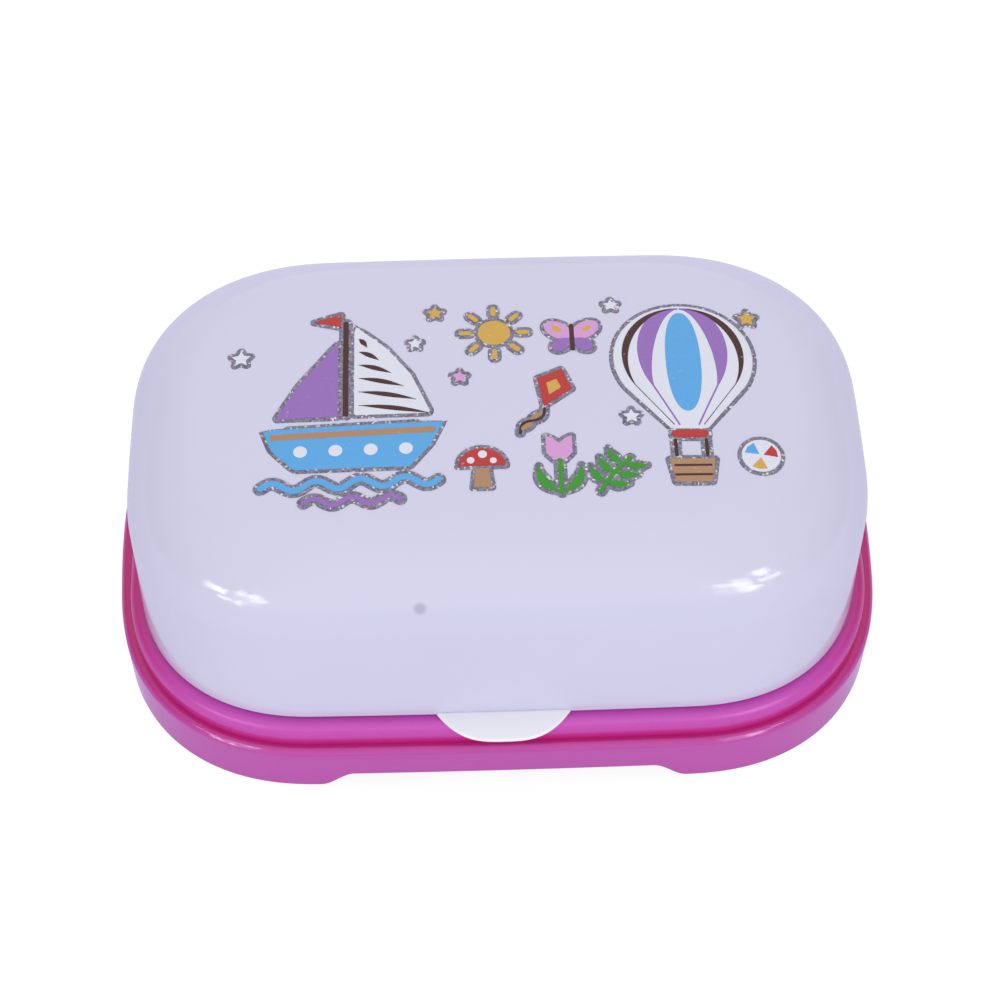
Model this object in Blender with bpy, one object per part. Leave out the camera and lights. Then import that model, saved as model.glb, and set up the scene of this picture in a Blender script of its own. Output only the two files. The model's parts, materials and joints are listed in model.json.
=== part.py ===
"""Hinged soap dish: a rounded base on four corner feet, a domed lid with a thumb tab,
a slotted soap tray that lifts out, and two hinge pins.

Metres, +Z up, the front towards -Y. The origin is on the table, under the middle of the case.
"""

import math

import bmesh
import bpy
from mathutils import Matrix

# The case
CASE_LENGTH = 0.116
CASE_DEPTH = 0.0747
CORNER_RADIUS = 0.0301
CORNER_POWER = 2.33
SIDE_BOW_SHARE = 0.02
FULL_END_SHARE = 0.96
WALL = 0.0016
EDGE_ROUND = 0.0004
GAP = 0.0003
OVERRUN = 0.001

# The base: skirt, ledge, rounded band, shoulder and lip, from the outside inwards
SKIRT_HEIGHT = 0.0107
SKIRT_EDGE_ROUND = 0.0009
SKIRT_DRAFT = 0.00015
LEDGE_INSET = 0.0015
BAND_HEIGHT = 0.0030
BAND_INSET = 0.0030
BAND_WALL_SHARE = 0.3
LIP_HEIGHT = 0.0033
LIP_WALL = 0.0014
LIP_CLEARANCE = 0.00035
TUB_DRAFT = 0.0004
TUB_CORNER = 0.0022
FLOOR_WALL = 0.0015
FLOOR_UNDERSIDE = 0.0036

# The gaps under the skirt that leave four corner feet
ARCH_HEIGHT = 0.0030
FRONT_ARCH_HALF_WIDTH = 0.0275
SIDE_ARCH_HALF_WIDTH = 0.0130
ARCH_RAMP = 0.0050

# The lid
LID_INSET = 0.0035
LID_HEIGHT = 0.03275
LID_SHOULDER = 0.0132
LID_CROWN = 0.0010
LID_DRAFT = 0.0002
TAB_HALF_WIDTH = 0.0099
TAB_REACH = 0.0049
TAB_THICKNESS = 0.0008
TAB_POWER = 3

# The hinge
HINGE_SPACING = 0.050
HINGE_REACH = 0.0037
HINGE_RISE = 0.0004
EYE_RADIUS = 0.0020
KNUCKLE_WIDTH = 0.0060
EAR_WIDTH = 0.0024
EAR_CLEARANCE = 0.0003
EAR_FOOT_HEIGHT = 0.0042
PIN_RADIUS = 0.0009
PIN_CLEARANCE = 0.0001
PIN_HEAD_RECESS = 0.0003

# The soap tray
TRAY_CLEARANCE = 0.0010
TRAY_PLATE = 0.0016
TRAY_HEIGHT = 0.0048
TRAY_BORDER_WIDTH = 0.0016
TRAY_BORDER_HEIGHT = 0.0014
SLOT_WIDTH = 0.0032
SLOT_PITCH = 0.0090
SLOT_COUNT = 9
SLOT_MARGIN = 0.0060
BAR_WIDTH = 0.0018
BAR_HEIGHT = 0.0010
LEG_RADIUS = 0.0024
LEG_SPACING_X = 0.0630
LEG_SPACING_Y = 0.0300
NOTCH_RADIUS = 0.0075

# How finely curves are divided
ARC_STEPS = 9
LONG_SIDE_STEPS = 4
SHORT_SIDE_STEPS = 2
SHOULDER_STEPS = 8
ROUND_STEPS = 3
ROUND_SIDES = 28
CROWN_SHARES = (0.75, 0.5, 0.25)
MERGE_DISTANCE = 0.00001

# Turns that lay a shape's own Z along each axis
TURNS = {
    "X": Matrix(((0, 0, 1, 0), (1, 0, 0, 0), (0, 1, 0, 0), (0, 0, 0, 1))),
    "Y": Matrix(((1, 0, 0, 0), (0, 0, -1, 0), (0, 1, 0, 0), (0, 0, 0, 1))),
    "Z": Matrix.Identity(4),
}

# Heights and places that follow from the sizes
ledge_z = SKIRT_HEIGHT
shoulder_z = SKIRT_HEIGHT + BAND_HEIGHT
lip_z = shoulder_z + LIP_HEIGHT
rim_z = shoulder_z + GAP
lid_top_z = rim_z + LID_HEIGHT
floor_z = FLOOR_UNDERSIDE + FLOOR_WALL
lip_outer_inset = LID_INSET + WALL + LIP_CLEARANCE
lip_inner_inset = lip_outer_inset + LIP_WALL
tub_inset = lip_inner_inset + TUB_DRAFT
tray_inset = tub_inset + TRAY_CLEARANCE
tray_z = floor_z + GAP
lid_rear_y = CASE_DEPTH / 2 - LID_INSET
hinge_y = lid_rear_y + HINGE_REACH
hinge_z = rim_z + HINGE_RISE


def superellipse(angle, power):
    """A point of the first quarter of the curve |x|^power + |y|^power = 1."""
    across = max(math.cos(angle), 0) ** (2 / power)
    along = max(math.sin(angle), 0) ** (2 / power)
    return across, along


def outline(inset, radius):
    """The case's outline seen from above, drawn in by inset: superelliptic corners, bowed sides."""
    half_length = CASE_LENGTH / 2 - inset
    half_depth = CASE_DEPTH / 2 - inset
    corner = min(radius, FULL_END_SHARE * half_depth)
    quarter = []
    for step in range(ARC_STEPS + 1):
        across, along = superellipse(math.pi / 2 * step / ARC_STEPS, CORNER_POWER)
        quarter.append((half_length - corner + corner * across, half_depth - corner + corner * along))
    corners = (
        quarter,
        [(-x, y) for x, y in reversed(quarter)],
        [(-x, -y) for x, y in quarter],
        [(x, -y) for x, y in reversed(quarter)],
    )
    points = []
    for index, arc in enumerate(corners):
        points += arc
        start, end = arc[-1], corners[(index + 1) % 4][0]
        steps = SHORT_SIDE_STEPS if index % 2 else LONG_SIDE_STEPS
        for step in range(1, steps):
            share = step / steps
            points.append((start[0] + share * (end[0] - start[0]), start[1] + share * (end[1] - start[1])))
    return [
        (
            x * (1 - SIDE_BOW_SHARE * (y / half_depth) ** 2),
            y * (1 - SIDE_BOW_SHARE * (x / half_length) ** 2),
        )
        for x, y in points
    ]


def ring(inset, height, radius):
    return [(x, y, height) for x, y in outline(inset, radius)]


def arc(centre, radii, start, end, steps):
    """Points of an elliptic arc, as (inset, height) pairs; angles in quarter turns."""
    points = []
    for step in range(steps + 1):
        angle = math.pi / 2 * (start + (end - start) * step / steps)
        points.append((centre[0] + radii[0] * math.cos(angle), centre[1] + radii[1] * math.sin(angle)))
    return points


def collection_named(name):
    collection = bpy.data.collections.new(name)
    bpy.context.scene.collection.children.link(collection)
    return collection


def plastic(name, colour, roughness):
    material = bpy.data.materials.new(name)
    material.use_nodes = True
    shader = material.node_tree.nodes["Principled BSDF"]
    shader.inputs["Base Color"].default_value = (*colour, 1)
    shader.inputs["Roughness"].default_value = roughness
    shader.inputs["Metallic"].default_value = 0
    return material


def object_from(bm, name, collection, material=None):
    """A smooth-shaded object from a bmesh, with its normals turned outwards."""
    bm.normal_update()
    bmesh.ops.recalc_face_normals(bm, faces=bm.faces)
    mesh = bpy.data.meshes.new(name)
    bm.to_mesh(mesh)
    bm.free()
    mesh.shade_smooth()
    mesh.set_sharp_from_angle(angle=math.radians(35))
    made = bpy.data.objects.new(name, mesh)
    collection.objects.link(made)
    if material:
        mesh.materials.append(material)
    else:
        made.hide_render = True
        made.display_type = "WIRE"
    return made


def loft(rings):
    """One closed skin through rings of equal count, with a flat cap on the first and the last."""
    bm = bmesh.new()
    rows = [[bm.verts.new(point) for point in points] for points in rings]
    count = len(rows[0])
    for lower, upper in zip(rows, rows[1:]):
        for index in range(count):
            after = (index + 1) % count
            bm.faces.new((lower[index], lower[after], upper[after], upper[index]))
    bm.faces.new(rows[0])
    bm.faces.new(rows[-1])
    return bm


def plate(outlines, start, end, axis):
    """Flat outlines drawn as a filled 2D curve and given their thickness along an axis, from start
    to end. Across X an outline's pairs are (y, z), across Y they are (x, z), across Z (x, y)."""
    curve = bpy.data.curves.new("outline", "CURVE")
    curve.dimensions = "2D"
    curve.fill_mode = "BOTH"
    curve.extrude = (end - start) / 2
    for points in outlines:
        spline = curve.splines.new("POLY")
        spline.points.add(len(points) - 1)
        for control, (u, v) in zip(spline.points, points):
            control.co = (u, v, 0, 1)
        spline.use_cyclic_u = True
    drawn = bpy.data.objects.new("outline", curve)
    bpy.context.scene.collection.objects.link(drawn)
    graph = bpy.context.evaluated_depsgraph_get()
    mesh = bpy.data.meshes.new_from_object(drawn.evaluated_get(graph))
    bm = bmesh.new()
    bm.from_mesh(mesh)
    bmesh.ops.remove_doubles(bm, verts=bm.verts, dist=MERGE_DISTANCE)
    bm.transform(TURNS[axis] @ Matrix.Translation((0, 0, (start + end) / 2)))
    bpy.data.objects.remove(drawn)
    bpy.data.meshes.remove(mesh)
    return bm


def rods(radius, length, centres, axis):
    """Closed cylinders about their centres, along an axis."""
    bm = bmesh.new()
    for centre in centres:
        bmesh.ops.create_cone(
            bm,
            cap_ends=True,
            segments=ROUND_SIDES,
            radius1=radius,
            radius2=radius,
            depth=length,
            matrix=Matrix.Translation(centre) @ TURNS[axis],
        )
    return bm


def boolean(target, tool, operation):
    modifier = target.modifiers.new(tool.name, "BOOLEAN")
    modifier.operation = operation
    modifier.object = tool


def base_profile():
    """The base's section as (inset, height) pairs, from the tub's floor up, over the lip, and
    down the outside, then back under the skirt to the tub's underside."""
    band_foot_z = ledge_z + BAND_WALL_SHARE * BAND_HEIGHT
    band_rise = shoulder_z - band_foot_z
    tub_outer = tub_inset - WALL
    points = arc(
        (tub_inset + TUB_CORNER, floor_z + TUB_CORNER), (TUB_CORNER, TUB_CORNER), 3, 2, ROUND_STEPS
    )
    points += arc(
        (lip_outer_inset + LIP_WALL / 2, lip_z - LIP_WALL / 2),
        (LIP_WALL / 2, LIP_WALL / 2),
        0,
        2,
        2 * ROUND_STEPS,
    )
    points.append((lip_outer_inset, shoulder_z))
    points += arc(
        (BAND_INSET, band_foot_z), (BAND_INSET - LEDGE_INSET, band_rise), 1, 2, ROUND_STEPS + 2
    )
    points += arc(
        (LEDGE_INSET - EDGE_ROUND, ledge_z + EDGE_ROUND), (EDGE_ROUND, EDGE_ROUND), 0, -1, ROUND_STEPS
    )
    points += arc(
        (SKIRT_EDGE_ROUND, ledge_z - SKIRT_EDGE_ROUND),
        (SKIRT_EDGE_ROUND, SKIRT_EDGE_ROUND),
        1,
        2,
        ROUND_STEPS,
    )
    points += [(SKIRT_DRAFT, EDGE_ROUND), (SKIRT_DRAFT + EDGE_ROUND, 0), (SKIRT_DRAFT + WALL, 0)]
    points.append((WALL, ledge_z - WALL))
    points.append((LEDGE_INSET + WALL, ledge_z - WALL / 2))
    points.append((BAND_INSET + WALL / 2, shoulder_z - WALL))
    points.append((lip_outer_inset - GAP, shoulder_z - WALL))
    points += arc(
        (tub_outer + TUB_CORNER, FLOOR_UNDERSIDE + TUB_CORNER), (TUB_CORNER, TUB_CORNER), 2, 3, ROUND_STEPS
    )
    return points


def arch_cutter(name, half_width, reach, axis, cutters):
    """A bar with S-shaped ramps at its ends, which cuts the gap between two feet."""
    points = [(-half_width - OVERRUN, -OVERRUN), (half_width + OVERRUN, -OVERRUN)]
    ramp = []
    steps = 2 * ROUND_STEPS
    for step in range(steps + 1):
        share = step / steps
        ramp.append((half_width - ARCH_RAMP * share, ARCH_HEIGHT * (3 - 2 * share) * share**2))
    ramp[0] = (half_width, 0)
    points += ramp
    points += [(-u, v) for u, v in reversed(ramp)]
    return object_from(plate([points], -reach, reach, axis), name, cutters)


def ear_outline():
    """A hinge ear from the side: a round eye on a foot that runs down onto the skirt."""
    inner_y = hinge_y - EYE_RADIUS
    foot_z = ledge_z - EAR_FOOT_HEIGHT
    skirt_y = CASE_DEPTH / 2 - WALL / 2
    points = [(skirt_y, foot_z)]
    points += [
        (hinge_y + EYE_RADIUS * math.cos(angle), hinge_z + EYE_RADIUS * math.sin(angle))
        for angle in (math.pi * step / (4 * ROUND_STEPS) for step in range(4 * ROUND_STEPS + 1))
    ]
    points += [(inner_y, ledge_z - OVERRUN), (skirt_y, ledge_z - OVERRUN)]
    return points


def hinge_places():
    """Each hinge's name and the middle of its knuckle along X."""
    return (("left", -HINGE_SPACING / 2), ("right", HINGE_SPACING / 2))


def pin_length():
    return KNUCKLE_WIDTH + 2 * (EAR_CLEARANCE + EAR_WIDTH - PIN_HEAD_RECESS)


def make_base(parts, cutters, material):
    rings = [ring(inset, height, CORNER_RADIUS - inset) for inset, height in base_profile()]
    base = object_from(loft(rings), "base_shell", parts, material)
    ear_gap = KNUCKLE_WIDTH / 2 + EAR_CLEARANCE
    for name, middle in hinge_places():
        for side, near in (("inner", -ear_gap - EAR_WIDTH), ("outer", ear_gap)):
            start = middle + near
            ear = plate([ear_outline()], start, start + EAR_WIDTH, "X")
            boolean(base, object_from(ear, f"{name}_{side}_ear", cutters), "UNION")
        width = 2 * (ear_gap + EAR_WIDTH + OVERRUN)
        bore = rods(PIN_RADIUS + PIN_CLEARANCE, width, [(middle, hinge_y, hinge_z)], "X")
        boolean(base, object_from(bore, f"{name}_ear_bore", cutters), "DIFFERENCE")
    front = arch_cutter("front_arch", FRONT_ARCH_HALF_WIDTH, CASE_DEPTH, "Y", cutters)
    side = arch_cutter("side_arch", SIDE_ARCH_HALF_WIDTH, CASE_LENGTH, "X", cutters)
    boolean(base, front, "DIFFERENCE")
    boolean(base, side, "DIFFERENCE")
    return base


def lid_profile(thickness):
    """The lid's section as (inset, height) pairs, from the rim to the edge of its crown, with the
    wall drawn in by thickness: a drafted wall, then a round shoulder that meets the crown's slope."""
    wall_top_z = lid_top_z - LID_SHOULDER
    centre = (LID_INSET + LID_DRAFT + LID_SHOULDER, wall_top_z)
    radius = LID_SHOULDER - thickness
    end = 1 - math.atan2(2 * LID_CROWN, CASE_DEPTH / 2 - centre[0]) / (math.pi / 2)
    return [(LID_INSET + thickness, rim_z)] + arc(centre, (radius, radius), 2, 2 - end, SHOULDER_STEPS)


def lid_rings(thickness):
    """Rings of the lid's outer or inner skin, from the rim to the middle of the crown."""
    radius = CORNER_RADIUS - LID_INSET - thickness
    profile = lid_profile(thickness)
    rings = [ring(inset, height, radius) for inset, height in profile]
    edge = rings[-1]
    for share in CROWN_SHARES:
        lift = LID_CROWN * (1 - share**2)
        rings.append([(share * x, share * y, z + lift) for x, y, z in edge])
    return rings


def tab_outline():
    """The thumb tab from above, with its root sunk in the lid's wall. Its reach falls from the
    middle to the ends as 1 - |x|^power."""
    root_y = -lid_rear_y + WALL / 2
    points = [(TAB_HALF_WIDTH, root_y), (-TAB_HALF_WIDTH, root_y)]
    steps = 2 * ARC_STEPS
    for step in range(steps + 1):
        across = 2 * step / steps - 1
        reach = TAB_REACH * (1 - abs(across) ** TAB_POWER)
        points.append((across * TAB_HALF_WIDTH, -lid_rear_y - reach))
    return points


def arm_outline():
    """A lid knuckle from the side: a round eye on an arm that runs into the lid's rear wall."""
    root_y = lid_rear_y - WALL / 2
    points = [(root_y, rim_z), (root_y, hinge_z + EYE_RADIUS)]
    steps = 6 * ROUND_STEPS
    start = math.pi / 2
    end = -math.pi + math.asin(HINGE_RISE / EYE_RADIUS)
    for step in range(steps + 1):
        angle = start + (end - start) * step / steps
        points.append((hinge_y + EYE_RADIUS * math.cos(angle), hinge_z + EYE_RADIUS * math.sin(angle)))
    return points


def make_lid(parts, cutters, material):
    outer = lid_rings(0)
    inner = lid_rings(WALL)
    rounded = ring(LID_INSET, rim_z + EDGE_ROUND, CORNER_RADIUS - LID_INSET)
    outer[0] = ring(LID_INSET + EDGE_ROUND, rim_z, CORNER_RADIUS - LID_INSET - EDGE_ROUND)
    skin = loft(outer[:0:-1] + [rounded, outer[0]] + inner)
    lid = object_from(skin, "lid_shell", parts, material)
    tab = plate([tab_outline()], rim_z, rim_z + TAB_THICKNESS, "Z")
    boolean(lid, object_from(tab, "thumb_tab", cutters), "UNION")
    for name, middle in hinge_places():
        start = middle - KNUCKLE_WIDTH / 2
        arm = plate([arm_outline()], start, start + KNUCKLE_WIDTH, "X")
        boolean(lid, object_from(arm, f"{name}_knuckle", cutters), "UNION")
        width = KNUCKLE_WIDTH + 2 * OVERRUN
        bore = rods(PIN_RADIUS + PIN_CLEARANCE, width, [(middle, hinge_y, hinge_z)], "X")
        boolean(lid, object_from(bore, f"{name}_knuckle_bore", cutters), "DIFFERENCE")
    return lid


def make_pins(parts, material):
    pins = []
    for name, middle in hinge_places():
        round_pin = rods(PIN_RADIUS, pin_length(), [(0, 0, 0)], "X")
        pin = object_from(round_pin, f"hinge_pin_{name}", parts, material)
        pin.location = (middle, hinge_y, hinge_z)
        pins.append(pin)
    return pins


def stadium(x, half_length, half_width):
    """A slot's outline along Y at x, with round ends."""
    points = []
    steps = 2 * ROUND_STEPS
    for end in (1, -1):
        for step in range(steps + 1):
            angle = math.pi * step / steps
            points.append(
                (
                    x + end * half_width * math.cos(angle),
                    end * (half_length - half_width + half_width * math.sin(angle)),
                )
            )
    return points


def slot_half_length(x):
    """Half the depth that the tray leaves at x, less its margin."""
    half_length = CASE_LENGTH / 2 - tray_inset
    half_depth = CASE_DEPTH / 2 - tray_inset
    corner = min(CORNER_RADIUS - tray_inset, FULL_END_SHARE * half_depth)
    beyond = max(abs(x) - (half_length - corner), 0) / corner
    rise = max(1 - beyond**CORNER_POWER, 0) ** (1 / CORNER_POWER)
    return half_depth - corner + corner * rise - SLOT_MARGIN


def tray_profile():
    """The tray's section as (inset, height) pairs above its legs' feet: the plate's underside,
    the border's outer face and top, and the plate's upper face."""
    plate_z = TRAY_HEIGHT + TRAY_PLATE
    border_z = plate_z + TRAY_BORDER_HEIGHT
    inner = tray_inset + TRAY_BORDER_WIDTH
    return [
        (tray_inset + EDGE_ROUND, TRAY_HEIGHT),
        (tray_inset, TRAY_HEIGHT + EDGE_ROUND),
        (tray_inset, border_z - EDGE_ROUND),
        (tray_inset + EDGE_ROUND, border_z),
        (inner - EDGE_ROUND, border_z),
        (inner, border_z - EDGE_ROUND),
        (inner + EDGE_ROUND, plate_z),
    ]


def make_tray(parts, cutters, material):
    profile = tray_profile()
    rings = [ring(inset, height, CORNER_RADIUS - inset) for inset, height in profile]
    tray = object_from(loft(rings), "soap_tray", parts, material)
    tray.location = (0, 0, tray_z)
    plate_z = TRAY_HEIGHT + TRAY_PLATE
    first_x = -SLOT_PITCH * (SLOT_COUNT - 1) / 2
    slot_xs = [first_x + SLOT_PITCH * index for index in range(SLOT_COUNT)]
    slots = [stadium(x, slot_half_length(x), SLOT_WIDTH / 2) for x in slot_xs]
    bar_xs = [x + SLOT_PITCH / 2 for x in slot_xs[:-1]]
    bars = [stadium(x, slot_half_length(x), BAR_WIDTH / 2) for x in bar_xs]
    leg_length = TRAY_HEIGHT + TRAY_PLATE / 2
    legs = [
        (side * LEG_SPACING_X / 2, front * LEG_SPACING_Y / 2, leg_length / 2)
        for side in (-1, 1)
        for front in (-1, 1)
    ]
    end_x = CASE_LENGTH / 2 - tray_inset
    notches = [(-end_x, 0, 0), (end_x, 0, 0)]
    notch_length = 2 * (plate_z + TRAY_BORDER_HEIGHT + OVERRUN)
    tools = (
        ("tray_bars", plate(bars, plate_z - TRAY_PLATE / 2, plate_z + BAR_HEIGHT, "Z"), "UNION"),
        ("tray_legs", rods(LEG_RADIUS, leg_length, legs, "Z"), "UNION"),
        ("tray_slots", plate(slots, TRAY_HEIGHT - OVERRUN, plate_z + OVERRUN, "Z"), "DIFFERENCE"),
        ("tray_notches", rods(NOTCH_RADIUS, notch_length, notches, "Z"), "DIFFERENCE"),
    )
    for name, piece, operation in tools:
        tool = object_from(piece, name, cutters)
        tool.location = tray.location
        boolean(tray, tool, operation)
    return tray


def make_hinge_empty(parts, lid):
    """The hinge's axis: the lid hangs from an empty that stands on it."""
    axis = bpy.data.objects.new("lid_hinge", None)
    axis.location = (0, hinge_y, hinge_z)
    parts.objects.link(axis)
    lid.parent = axis
    lid.location = (0, -hinge_y, -hinge_z)


def main():
    for existing in list(bpy.data.objects):
        bpy.data.objects.remove(existing)
    parts = collection_named("soap_dish")
    cutters = collection_named("cutters")
    magenta = plastic("magenta_plastic", (0.52, 0.06, 0.36), 0.25)
    white = plastic("white_plastic", (0.72, 0.71, 0.82), 0.25)
    tray_white = plastic("tray_plastic", (0.78, 0.77, 0.85), 0.35)
    pin_white = plastic("pin_plastic", (0.60, 0.59, 0.66), 0.4)
    make_base(parts, cutters, magenta)
    lid = make_lid(parts, cutters, white)
    make_tray(parts, cutters, tray_white)
    make_pins(parts, pin_white)
    make_hinge_empty(parts, lid)


main()
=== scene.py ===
"""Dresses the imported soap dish: two moulded shells, a slotted tray, hinge pins and foil stickers.

All sizes are in metres. The front faces -Y, +Z is up and the dish stands on z = 0.
"""

import functools
import json
import math

import bpy
import numpy as np
from bpy.props import FloatProperty, FloatVectorProperty, PointerProperty
from mathutils import Matrix, Vector


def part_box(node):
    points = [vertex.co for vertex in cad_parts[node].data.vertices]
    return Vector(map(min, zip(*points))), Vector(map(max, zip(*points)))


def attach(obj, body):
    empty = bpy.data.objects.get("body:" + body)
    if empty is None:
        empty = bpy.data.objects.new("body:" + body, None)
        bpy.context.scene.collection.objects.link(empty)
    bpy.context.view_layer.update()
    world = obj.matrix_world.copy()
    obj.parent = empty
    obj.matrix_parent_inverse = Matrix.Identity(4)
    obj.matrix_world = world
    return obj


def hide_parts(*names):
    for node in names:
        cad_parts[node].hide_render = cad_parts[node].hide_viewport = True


bl_info = {
    "name": "Hinged soap dish",
    "version": (1, 0, 0),
    "blender": (4, 5, 0),
    "location": "3D View > Sidebar > Soap dish",
    "description": "Moulded shells, slotted tray, pins and foil stickers of a hinged soap dish",
    "category": "Object",
}

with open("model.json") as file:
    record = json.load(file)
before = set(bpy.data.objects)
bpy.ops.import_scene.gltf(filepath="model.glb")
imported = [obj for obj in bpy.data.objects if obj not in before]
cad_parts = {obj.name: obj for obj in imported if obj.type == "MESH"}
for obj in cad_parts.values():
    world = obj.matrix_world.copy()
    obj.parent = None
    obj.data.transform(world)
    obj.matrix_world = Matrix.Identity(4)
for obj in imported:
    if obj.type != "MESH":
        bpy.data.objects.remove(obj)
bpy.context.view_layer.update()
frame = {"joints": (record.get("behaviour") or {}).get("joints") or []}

base_low, base_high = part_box("base_shell")
pin_low, pin_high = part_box("hinge_pin_left")
hinge = next(joint for joint in frame["joints"] if joint["name"] == "lid_hinge")

# The case, seen from above
case_length = base_high.x - base_low.x
case_depth = -2 * base_low.y
CORNER_RADIUS = 0.0301
CORNER_POWER = 2.33
SIDE_BOW_SHARE = 0.02
FULL_END_SHARE = 0.96
WALL = 0.0016
EDGE_ROUND = 0.0004
GAP = 0.0003
OVERRUN = 0.001

# The base
SKIRT_HEIGHT = 0.0107
LEDGE_DEPTH = 0.0010
SKIRT_ROLL = 0.0007
ROLL_FACET = 0.00045
ROLL_FACET_TURN = 0.6
END_SWELL = 0.0006
END_SWELL_Y = 0.004
END_SWELL_REACH = 0.020
SKIRT_DRAFT = 0.00015
LEDGE_INSET = 0.0015
BAND_HEIGHT = 0.0030
BAND_INSET = 0.0030
BAND_WALL_SHARE = 0.3
# Painted shade: how far the crease's darker, redder colour reaches in the section, and the shares of it
# painted under the lid's rim and along the dish's ends
CREASE_SHADE_REACH = (0.00105, 0.0019)
RIM_SHADE_SHARE = 0.1
END_SHADE_SHARE = 0.9
LIP_HEIGHT = 0.0033
LIP_WALL = 0.0014
LIP_CLEARANCE = 0.00035
TUB_DRAFT = 0.0004
TUB_CORNER = 0.0022
FLOOR_WALL = 0.0015
FLOOR_UNDERSIDE = 0.0036
ARCH_HEIGHT = 0.0030
FRONT_ARCH_HALF_WIDTH = 0.0275
SIDE_ARCH_HALF_WIDTH = 0.0130
ARCH_RAMP = 0.0050

# The lid
LID_INSET = 0.0035
LID_HEIGHT = 0.03275
LID_SHOULDER = 0.0132
LID_CROWN = 0.0010
LID_DRAFT = 0.0002
TAB_HALF_WIDTH = 0.0099
TAB_REACH = 0.0049
TAB_THICKNESS = 0.0008
TAB_POWER = 3
TAB_EDGE_ROUND = 0.0003

# The hinge
hinge_y, hinge_z = hinge["pos_m"][1:]
EYE_RADIUS = 0.0020
KNUCKLE_WIDTH = 0.0060
EAR_WIDTH = 0.0024
EAR_CLEARANCE = 0.0003
EAR_FOOT_HEIGHT = 0.0042
PIN_CLEARANCE = 0.0001
pin_radius = (pin_high.z - pin_low.z) / 2
pin_middle = (pin_low.x + pin_high.x) / 2
pin_half_length = (pin_high.x - pin_low.x) / 2

# The tray
TRAY_CLEARANCE = 0.0010
TRAY_PLATE = 0.0016
TRAY_HEIGHT = 0.0048
TRAY_BORDER_WIDTH = 0.0016
TRAY_BORDER_HEIGHT = 0.0014
SLOT_WIDTH = 0.0032
SLOT_PITCH = 0.0090
SLOT_COUNT = 9
SLOT_MARGIN = 0.0060
BAR_WIDTH = 0.0018
BAR_HEIGHT = 0.0010
LEG_RADIUS = 0.0024
LEG_SPACING_X = 0.0630
LEG_SPACING_Y = 0.0300
NOTCH_RADIUS = 0.0075

# Heights and places that follow
ledge_z = SKIRT_HEIGHT
ledge_low_z = ledge_z - LEDGE_DEPTH
shoulder_z = SKIRT_HEIGHT + BAND_HEIGHT
lip_z = shoulder_z + LIP_HEIGHT
rim_z = shoulder_z + GAP
lid_top_z = rim_z + LID_HEIGHT
floor_z = FLOOR_UNDERSIDE + FLOOR_WALL
lip_outer_inset = LID_INSET + WALL + LIP_CLEARANCE
tub_inset = lip_outer_inset + LIP_WALL + TUB_DRAFT
tray_inset = tub_inset + TRAY_CLEARANCE
tray_z = floor_z + GAP
lid_rear_y = case_depth / 2 - LID_INSET

# How finely the surfaces are divided
FINE_STEPS = 400
CORNER_STEPS = 60
LONG_STEPS = 80
SHORT_STEPS = 12
ARC_STEPS = 10
EDGE_STEPS = 4
SHOULDER_STEPS = 26
WALL_STEPS = 8
CROWN_STEPS = 14
ROUND_SIDES = 48
BEVEL_STEPS = 3
SHARP_ANGLE = math.radians(35)

# Stickers: their sizes and places are written in millimetres
MM = 0.001
OUTLINE_STEPS = 120
OUTLINE_TURN = 2 * np.pi * np.arange(OUTLINE_STEPS) / OUTLINE_STEPS
PATCH_STEPS = 9
SECTION_STEPS = 8
PATH_STEPS = 40
CAP_STEPS = 6
PUFF_POWER = 6
FOIL_POWER = 16
SUNK = 0.05
TAPER_SHARE = 0.1
LEVEL_STEP = 0.004
LEVEL_COUNT = 5
TINY = 1e-9
INKS = ("sky", "purple", "brown", "red", "tan", "green", "pink", "ochre", "white")

# Finishes: lengths in metres, scales in cycles a metre
CLOUD_SCALE = 35.0
WEAR_SCALE = 260.0
WEAR_DETAIL = 6.0
WEAR_RANGE = (0.5, 0.8)
SCRATCH_SCALE = 420.0
SCRATCH_STRETCH = 40.0
SCRATCH_TURNS = (28, -64)
SCRATCH_SHARE = 0.006
SCRATCH_RELIEF_SHARE = 0.05
RIPPLE_SCALE = 110.0
RIPPLE_DETAIL = 1.0
PLASTIC_IOR = 1.5
INK_RIPPLE_SCALE = 220.0
INK_ROUGHNESS = 0.22
MOTTLE_SCALE = 900.0
MOTTLE_DETAIL = 3.0
MOTTLE_ROUGHNESS = 0.1
GATE_PLACE = (-0.0116, -0.0321, 0.0397)
GATE_RADIUS = 0.0013
GATE_CORE_SHARE = 0.3
GATE_TONE_SHARE = 0.72
GLINT_EDGE = 0.02
FLAKE_TILT = 0.35
FLAKE_ROUGHNESS = (0.3, 0.25)
FOIL_METAL = 0.6
GLINT_THROUGH_SHARE = 0.25


def srgb(red, green, blue):
    """A display colour of 0 to 255 as linear light: ((c + 0.055) / 1.055)^2.4, or c / 12.92 when it
    is dark."""
    parts = np.array([red, green, blue]) / 255
    return tuple(np.where(parts > 0.04045, ((parts + 0.055) / 1.055) ** 2.4, parts / 12.92).tolist())


GLINT_HUES = (
    (0.0, srgb(222, 220, 236)),
    (0.5, srgb(226, 176, 206)),
    (0.72, srgb(176, 204, 178)),
    (0.86, srgb(214, 208, 158)),
)

# The stage
SENSOR_WIDTH = 36.0
FLOOR_REACH = 6.0
LAMP_TARGET = (0.0, -0.03, 0.04)

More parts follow.
